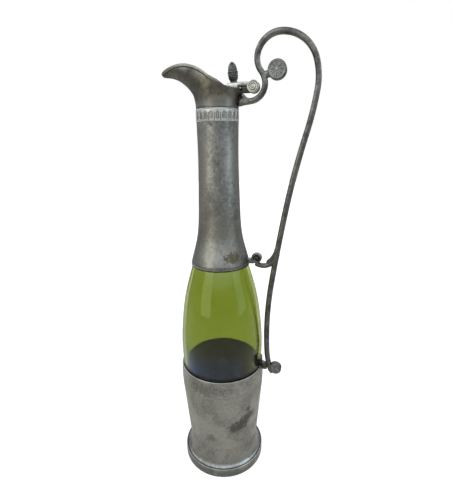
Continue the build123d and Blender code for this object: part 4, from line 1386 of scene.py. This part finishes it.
@dataclass
class Handle:
    """Scroll handle: the long bar, its root, rosettes, the branch with its roll, and the lugs."""

    finishes: Finishes
    glass_radius: float = 38.26
    roll_radius: float = 4.9
    roll_height: float = 210.9
    root: tuple[float, float] = (26.0, 337.5)
    bends: tuple[tuple[float, float], ...] = (
        (12.0, 100.2), (14.5, 27.8), (15.0, -62.9), (17.0, -64.5), (27.5, -74.0), (48.0, -24.4),
        (222.0, -7.9), (649.794, 5.6551), (1714.435, 2.1449), (346.0, 11.1), (80.0, 13.8), (5.2, 38.0))

    def route(self) -> np.ndarray:
        """Centre line of the bar, from its root at the spout to the curl under the lower rosette."""
        return bend_line(self.root, 0.0, np.array(self.bends), 1.0)

    def long_bar(self) -> Shell:
        """Bar along the route, a little thicker down the long run than at its two ends."""
        line = self.route()
        share = np.linspace(0, 1, len(line))
        half = curve((0, 0.06, 0.16, 0.3, 0.5, 0.8, 0.97, 1.0),
                     (2.2, 2.2, 2.22, 2.22, 2.4, 2.45, 2.3, 2.2), share)
        depth = curve((0, 0.1, 0.3, 0.6, 1.0), (2.9, 2.95, 3.0, 2.8, 2.85), share)
        return bar(line, half, depth, 2.7, 30, 0.5)

    def bracket(self) -> Shell:
        """Root of the handle: a leaf-like block against the spout, with a raised middle."""
        x, z = self.root
        outline = np.array([(x + 0.6, z - 2.1), (x + 0.6, z + 2.1), (x - 1.6, z + 2.4), (x - 2.9, z + 3.6),
                            (x - 4.1, z + 5.3), (x - 6.0, z + 5.5), (x - 6.6, z + 2.2), (x - 8.0, z - 0.4),
                            (x - 9.2, z - 3.3), (x - 7.4, z - 3.3), (x - 4.5, z - 2.6)])
        return slab(finer(eased(outline[::-1], 0.9), 0.7), 2.95, 0.9, 0.35)

    def rosette(self, node: str, petals: int, centre_dot: float) -> Shell:
        """Rosette: a drum along Y with a rolled border and a flower on both faces.

        On a face of radius R the height is a border ring at 0.86 R, two thin ridges that spread
        from the middle in each petal's sector, a groove between petals and a boss in the middle.

        Args:
            node: CAD node that it stands for.
            petals: Number of petals.
            centre_dot: Radius of the boss as a share of R.

        Returns:
            The closed drum.
        """
        columns = 144
        middle_point = middle(node)
        half_y = float((high(node) - low(node))[1] / 2)
        radius = float((high(node) - low(node))[2] / 2)
        if node == "upper_rosette":
            middle_point = np.array([high(node)[0] - radius, 0, high(node)[2] - radius])
        r = np.linspace(0, 1, 44)[:, None] * (radius - 0.45)
        a = angles(columns)
        share = r / radius
        from_mid = np.abs(np.mod(a * petals / (2 * np.pi), 1.0) - 0.5) * 2
        in_flower = np.clip((0.72 - share) / 0.05, 0, 1) * np.clip((share - centre_dot) / 0.05, 0, 1)
        sector = np.pi / petals * r
        outline = bell((from_mid - 0.30 - 0.3 * share) * sector, 0.2) * in_flower
        gap = bell((from_mid - 1.0) * sector, 0.26) * in_flower
        border = bell(share - 0.86, 0.075)
        boss = np.clip(1 - (share / centre_dot) ** 2, 0, 1)
        height = -0.3 + 0.28 * border + 0.1 * outline + 0.16 * boss - 0.12 * gap
        # rubbed wear with painted highlights on the border, petal outlines and boss; painted shade in the
        # gaps between petals and round the drum's edge
        relief = np.clip(-0.12 + 0.12 * border + 0.5 * outline + 0.4 * boss - 0.3 * gap, -1, 1)
        q = np.linspace(np.pi / 2, 0, 5)[:, None]
        edge = circled(radius - 0.42 + 0.4 * np.cos(q), half_y - 0.5 + 0.42 * np.sin(q), a)
        one = np.concatenate([circled(r, half_y + height - 0.04, a), edge])
        values = np.concatenate([relief, np.full((5, columns), -0.45)])
        other = one[::-1] * [1, 1, -1]
        grid = np.concatenate([one, other])
        shell = Shell.grid(grid, False, True, np.concatenate([values, values[::-1]]))
        return placed(shell, middle_point, np.array([0, 1, 0]))

    def rosette_stem(self) -> Shell:
        """Short neck that joins the upper rosette to the loop."""
        radius = float((high("upper_rosette") - low("upper_rosette"))[2] / 2)
        x, z = high("upper_rosette")[0] - radius, high("upper_rosette")[2] - radius
        line = np.array([(x - 10.2, z - 3.3), (x - 8.0, z - 2.6), (x - 5.4, z - 2.0)])
        route = smooth_line(line, 12)
        heading = np.arctan2(np.gradient(route[:, 1]), np.gradient(route[:, 0]))
        return bar(np.column_stack([route, heading]), np.linspace(2.5, 2.8, 12), np.full(12, 2.5),
                   2.6, 24, 0.4)

    def branch(self) -> Shell:
        """Branch that leaves the bar and ends in a roll.

        The roll is a spiral whose radius falls from its outer turn to its eye in proportion to
        the angle, swept as a flat bar over a core that fills it.
        """
        roll = np.array([low("scroll_branch")[0] + self.roll_radius, self.roll_height])
        centre = roll + [5.1, 5.8]
        angle = np.radians(np.linspace(-8, -118, 60))
        arc = centre + 12.4 * np.stack([np.cos(angle), np.sin(angle)], 1)
        heading = angle - np.pi / 2
        share = np.linspace(0, 1, 60)
        limb = bar(np.column_stack([arc, heading]), 2.25 - 0.35 * share**2, np.full(60, 2.7), 2.7, 26, 0.4)
        a = np.radians(np.linspace(-70, -70 - 640, 150))
        radius = curve((0, 0.3, 0.5, 0.75, 1), (4.0, 3.95, 3.3, 1.9, 0.6), np.linspace(0, 1, 150))
        curl = roll + radius[:, None] * np.stack([np.cos(a), np.sin(a)], 1)
        step = np.gradient(curl, axis=0)
        turn = np.arctan2(step[:, 1], step[:, 0])
        spiral = bar(np.column_stack([curl, np.unwrap(turn)]), np.linspace(0.92, 0.55, 150),
                     np.full(150, 2.95), 2.4, 16, 0.6)
        core = eased([(0.0, -2.4), (4.1, -2.4), (4.1, 2.4), (0.0, 2.4)], 0.3, closed=False)
        drum = placed(turned(finer(core, 0.8, False), 72, False), (roll[0], 0, roll[1]), (0, 1, 0))
        # painted shade on the core deep inside the roll; rubbed wear with a painted highlight on the spiral
        drum.relief[:] = -0.85
        spiral.relief[:] = 0.35
        web = centre + np.array([(3.1, -8.0), (5.5, -6.0), (7.6, -3.0), (9.4, 0.6), (10.4, 5.0), (13.0, 5.0),
                                 (12.2, 0.5), (10.4, -5.5), (9.0, -10.0), (4.1, -10.0)])
        fill = slab(finer(eased(web, 0.5), 0.7), 2.55, 0.6, -0.1)
        return limb + spiral + drum + fill

    def scroll_lug(self) -> Shell:
        """Small foot that holds the roll to the sleeve's rolled edge."""
        x0, z0 = low("scroll_lug")[0], low("scroll_lug")[2]
        x1, z1 = high("scroll_lug")[0], high("scroll_lug")[2]
        outline = np.array([(x0 + 0.1, z0), (x1, z0), (x1, z0 + 1.6), (x1 - 1.8, z1), (x0 - 0.4, z1)])
        return slab(finer(eased(outline, 0.5), 0.5), 2.45, 0.6, 0.2)

    def rim_lug(self) -> Shell:
        """Leaf-shaped tongue on the glass and the lug that holds the foot of the bar to it.

        Across the tongue the half width is a spline of the height that ends in a point, and the
        face swells by a cosine of the share of that width, with a raised rib down the middle.
        """
        x0, z0, z1 = low("rim_lug")[0], high("base_cup")[2] + 0.06, high("rim_lug")[2]
        tall = z1 - z0
        v = np.linspace(0, 1, 36)[:, None]
        half = curve((0, 0.2, 0.45, 0.7, 0.9, 1.0), (3.95, 3.9, 3.5, 2.5, 1.1, 0.04), v)
        u = np.linspace(-1, 1, 41)[None, :]
        y = u * half
        inner = np.sqrt(self.glass_radius**2 - y**2)
        rib = bell(u, 0.12) * (1 - v**3)
        lobes = 0.5 + 0.5 * np.cos(np.pi * (v * 5 + np.abs(u) * 1.6))
        dome = np.cos(u * np.pi / 2)
        swell = 0.35 + 0.42 * dome + 0.14 * rib + 0.1 * lobes * dome
        z = z0 + v * tall + 0 * u
        front = np.stack([inner + swell, y, z], -1)
        back = np.stack([inner, y, z], -1)
        # rubbed wear with painted highlights on the rib and lobes, painted shade between them
        relief = np.clip(0.9 * rib + 0.5 * lobes - 0.5, -1, 1) * dome
        grid = np.concatenate([front.transpose(1, 0, 2), back.transpose(1, 0, 2)[::-1]])
        values = np.concatenate([relief.T, np.zeros_like(relief.T)])
        tongue = capped(grid, values, (front[0], back[0]), (back[-1], front[-1]))
        rim = z0 - 0.06
        arm = [(x0 + 0.55, rim + 0.06), (39.45, rim + 0.02), (39.45, rim - 4.7), (42.0, rim - 4.75),
               (43.9, rim - 4.2), (43.9, rim + 1.1), (x0 + 0.55, rim + 2.3)]
        return tongue + slab(finer(eased(arm, 0.4), 0.5), 2.45, 0.6, 0.2)

    def build(self) -> None:
        """Makes every piece of the handle."""
        handle = self.finishes.handle
        flower = self.finishes.flower
        top = self.rosette("upper_rosette", 8, 0.2) + self.rosette_stem()
        for name, shell, finish, node, crease in (
                ("handle", self.long_bar(), handle, "handle_bar", 50.0),
                ("root_bracket", self.bracket(), handle, "handle_root", 50.0),
                ("top_rosette", top, flower, "upper_rosette", 60.0),
                ("foot_rosette", self.rosette("lower_rosette", 6, 0.22), flower, "lower_rosette", 60.0),
                ("branch_roll", self.branch(), handle, "scroll_branch", 50.0),
                ("branch_foot", self.scroll_lug(), handle, "scroll_lug", 50.0),
                ("rim_leaf", self.rim_lug(), self.finishes.acorn, "rim_lug", 60.0)):
            finish_mesh(name, shell, Body.FLAGON, finish, (node,), crease)


# ---- Studio ------------------------------------------------------------------------------


@dataclass
class Studio:
    """Floor, soft lights and the camera."""

    distance: float = 0.295
    turn: float = 15.0
    pitch: float = 16.4
    roll: float = -0.92
    aside: float = -0.0055
    height: float = 0.3028

    def floor(self) -> None:
        """Wide pale floor."""
        side = np.array([-3.0, 3.0])
        x, y = np.meshgrid(side, side)
        points = np.stack([x, y, 0 * x], -1)
        mesh = bpy.data.meshes.new("studio_floor")
        mesh.from_pydata(points.reshape(-1, 3).tolist(), [], grid_faces(2, 2, False, False).tolist())
        mesh.shade_smooth()
        paint, w = new_material("studio_floor")
        w.principled({"Base Color": (0.35, 0.35, 0.35), "Roughness": 0.9,
                      "Emission Color": (1.0, 1.0, 1.0), "Emission Strength": 0.8})
        mesh.materials.append(paint)
        floor = linked("studio_floor", mesh)
        floor.visible_glossy = False

    def lamp(self, name: str, place: Place, aim: Place, size: tuple[float, float], watts: float,
             colour: Colour) -> None:
        """Soft oblong light that faces a point.

        Args:
            name: The light's name.
            place: Where it stands, in metres.
            aim: The point it faces, in metres.
            size: Its width and height, in metres.
            watts: Its power.
            colour: Its colour.
        """
        data = bpy.data.lights.new(name, "AREA")
        data.shape, data.size, data.size_y = "RECTANGLE", size[0], size[1]
        data.energy, data.color = watts, colour
        lamp = linked(name, data)
        lamp.location = place
        lamp.rotation_euler = (Vector(aim) - Vector(place)).to_track_quat("-Z", "Y").to_euler()

    def lights(self) -> None:
        """Surroundings with a cool band above a dim horizon, and a warm and a cool light."""
        world = bpy.data.worlds.new("studio")
        world.use_nodes = True
        w = Wiring(world.node_tree)
        direction = w.put("ShaderNodeTexCoord").outputs["Generated"]
        up = w.put("ShaderNodeSeparateXYZ", {0: direction}).outputs["Z"]
        sky = w.blend(w.ramp(up, -0.5, -0.05), (0.60, 0.595, 0.57), (0.27, 0.268, 0.262))
        band = w.times(w.ramp(up, 0.08, 0.3), w.ramp(up, 0.6, 0.95, (1.0, 0.3)))
        sky = w.blend(band, sky, (1.55, 1.72, 1.9))
        path = w.put("ShaderNodeLightPath").outputs
        clear = w.plus(path["Is Camera Ray"], path["Is Transmission Ray"], clamp=True)
        sky = w.blend(clear, sky, (1.0, 1.0, 1.0))
        back = w.put("ShaderNodeBackground", {"Color": sky, "Strength": 1.0})
        w.put("ShaderNodeOutputWorld", {"Surface": back.outputs[0]})
        bpy.context.scene.world = world
        self.lamp("warm", (-0.52, -0.84, 0.42), (0, 0, 0.25), (0.6, 0.9), 1.9, (1.0, 0.92, 0.77))
        self.lamp("cool", (0.93, -0.2, 0.42), (0, 0, 0.25), (0.5, 0.9), 1.1, (0.62, 0.82, 1.0))

    def camera(self) -> None:
        """Camera at the height of the sleeve, looking a little down."""
        a, p, r = math.radians(self.turn), math.radians(self.pitch), math.radians(self.roll)
        flat = Vector((-math.sin(a), math.cos(a), 0))
        right = Vector((math.cos(a), math.sin(a), 0))
        ahead = flat * math.cos(p) - Vector((0, 0, math.sin(p)))
        up = flat * math.sin(p) + Vector((0, 0, math.cos(p)))
        tilted = right * math.cos(r) + up * math.sin(r)
        upright = up * math.cos(r) - right * math.sin(r)
        place = -flat * self.distance - right * self.aside + Vector((0, 0, self.height))
        data = bpy.data.cameras.new("camera")
        data.sensor_width, data.lens = 36.0, 24.84
        data.clip_start, data.clip_end = 0.01, 50.0
        camera = linked("camera", data)
        turn = Matrix((tilted, upright, -ahead)).transposed()
        camera.matrix_world = Matrix.Translation(place) @ turn.to_4x4()
        bpy.context.scene.camera = camera

    def build(self) -> None:
        """Sets up the studio."""
        self.floor()
        self.lights()
        self.camera()
        bpy.context.scene.view_settings.view_transform = "Standard"


def main() -> None:
    """Builds the flagon piece by piece, then the studio."""
    logging.basicConfig(level=logging.INFO, format="%(name)s %(message)s")
    finishes = Finishes()
    spout = Spout(finishes)
    for part in (Base(finishes), Bottle(finishes), Neck(finishes), spout, Hinge(finishes, spout),
                 Handle(finishes), Studio()):
        part.build()


if __name__ == "__main__":
    main()
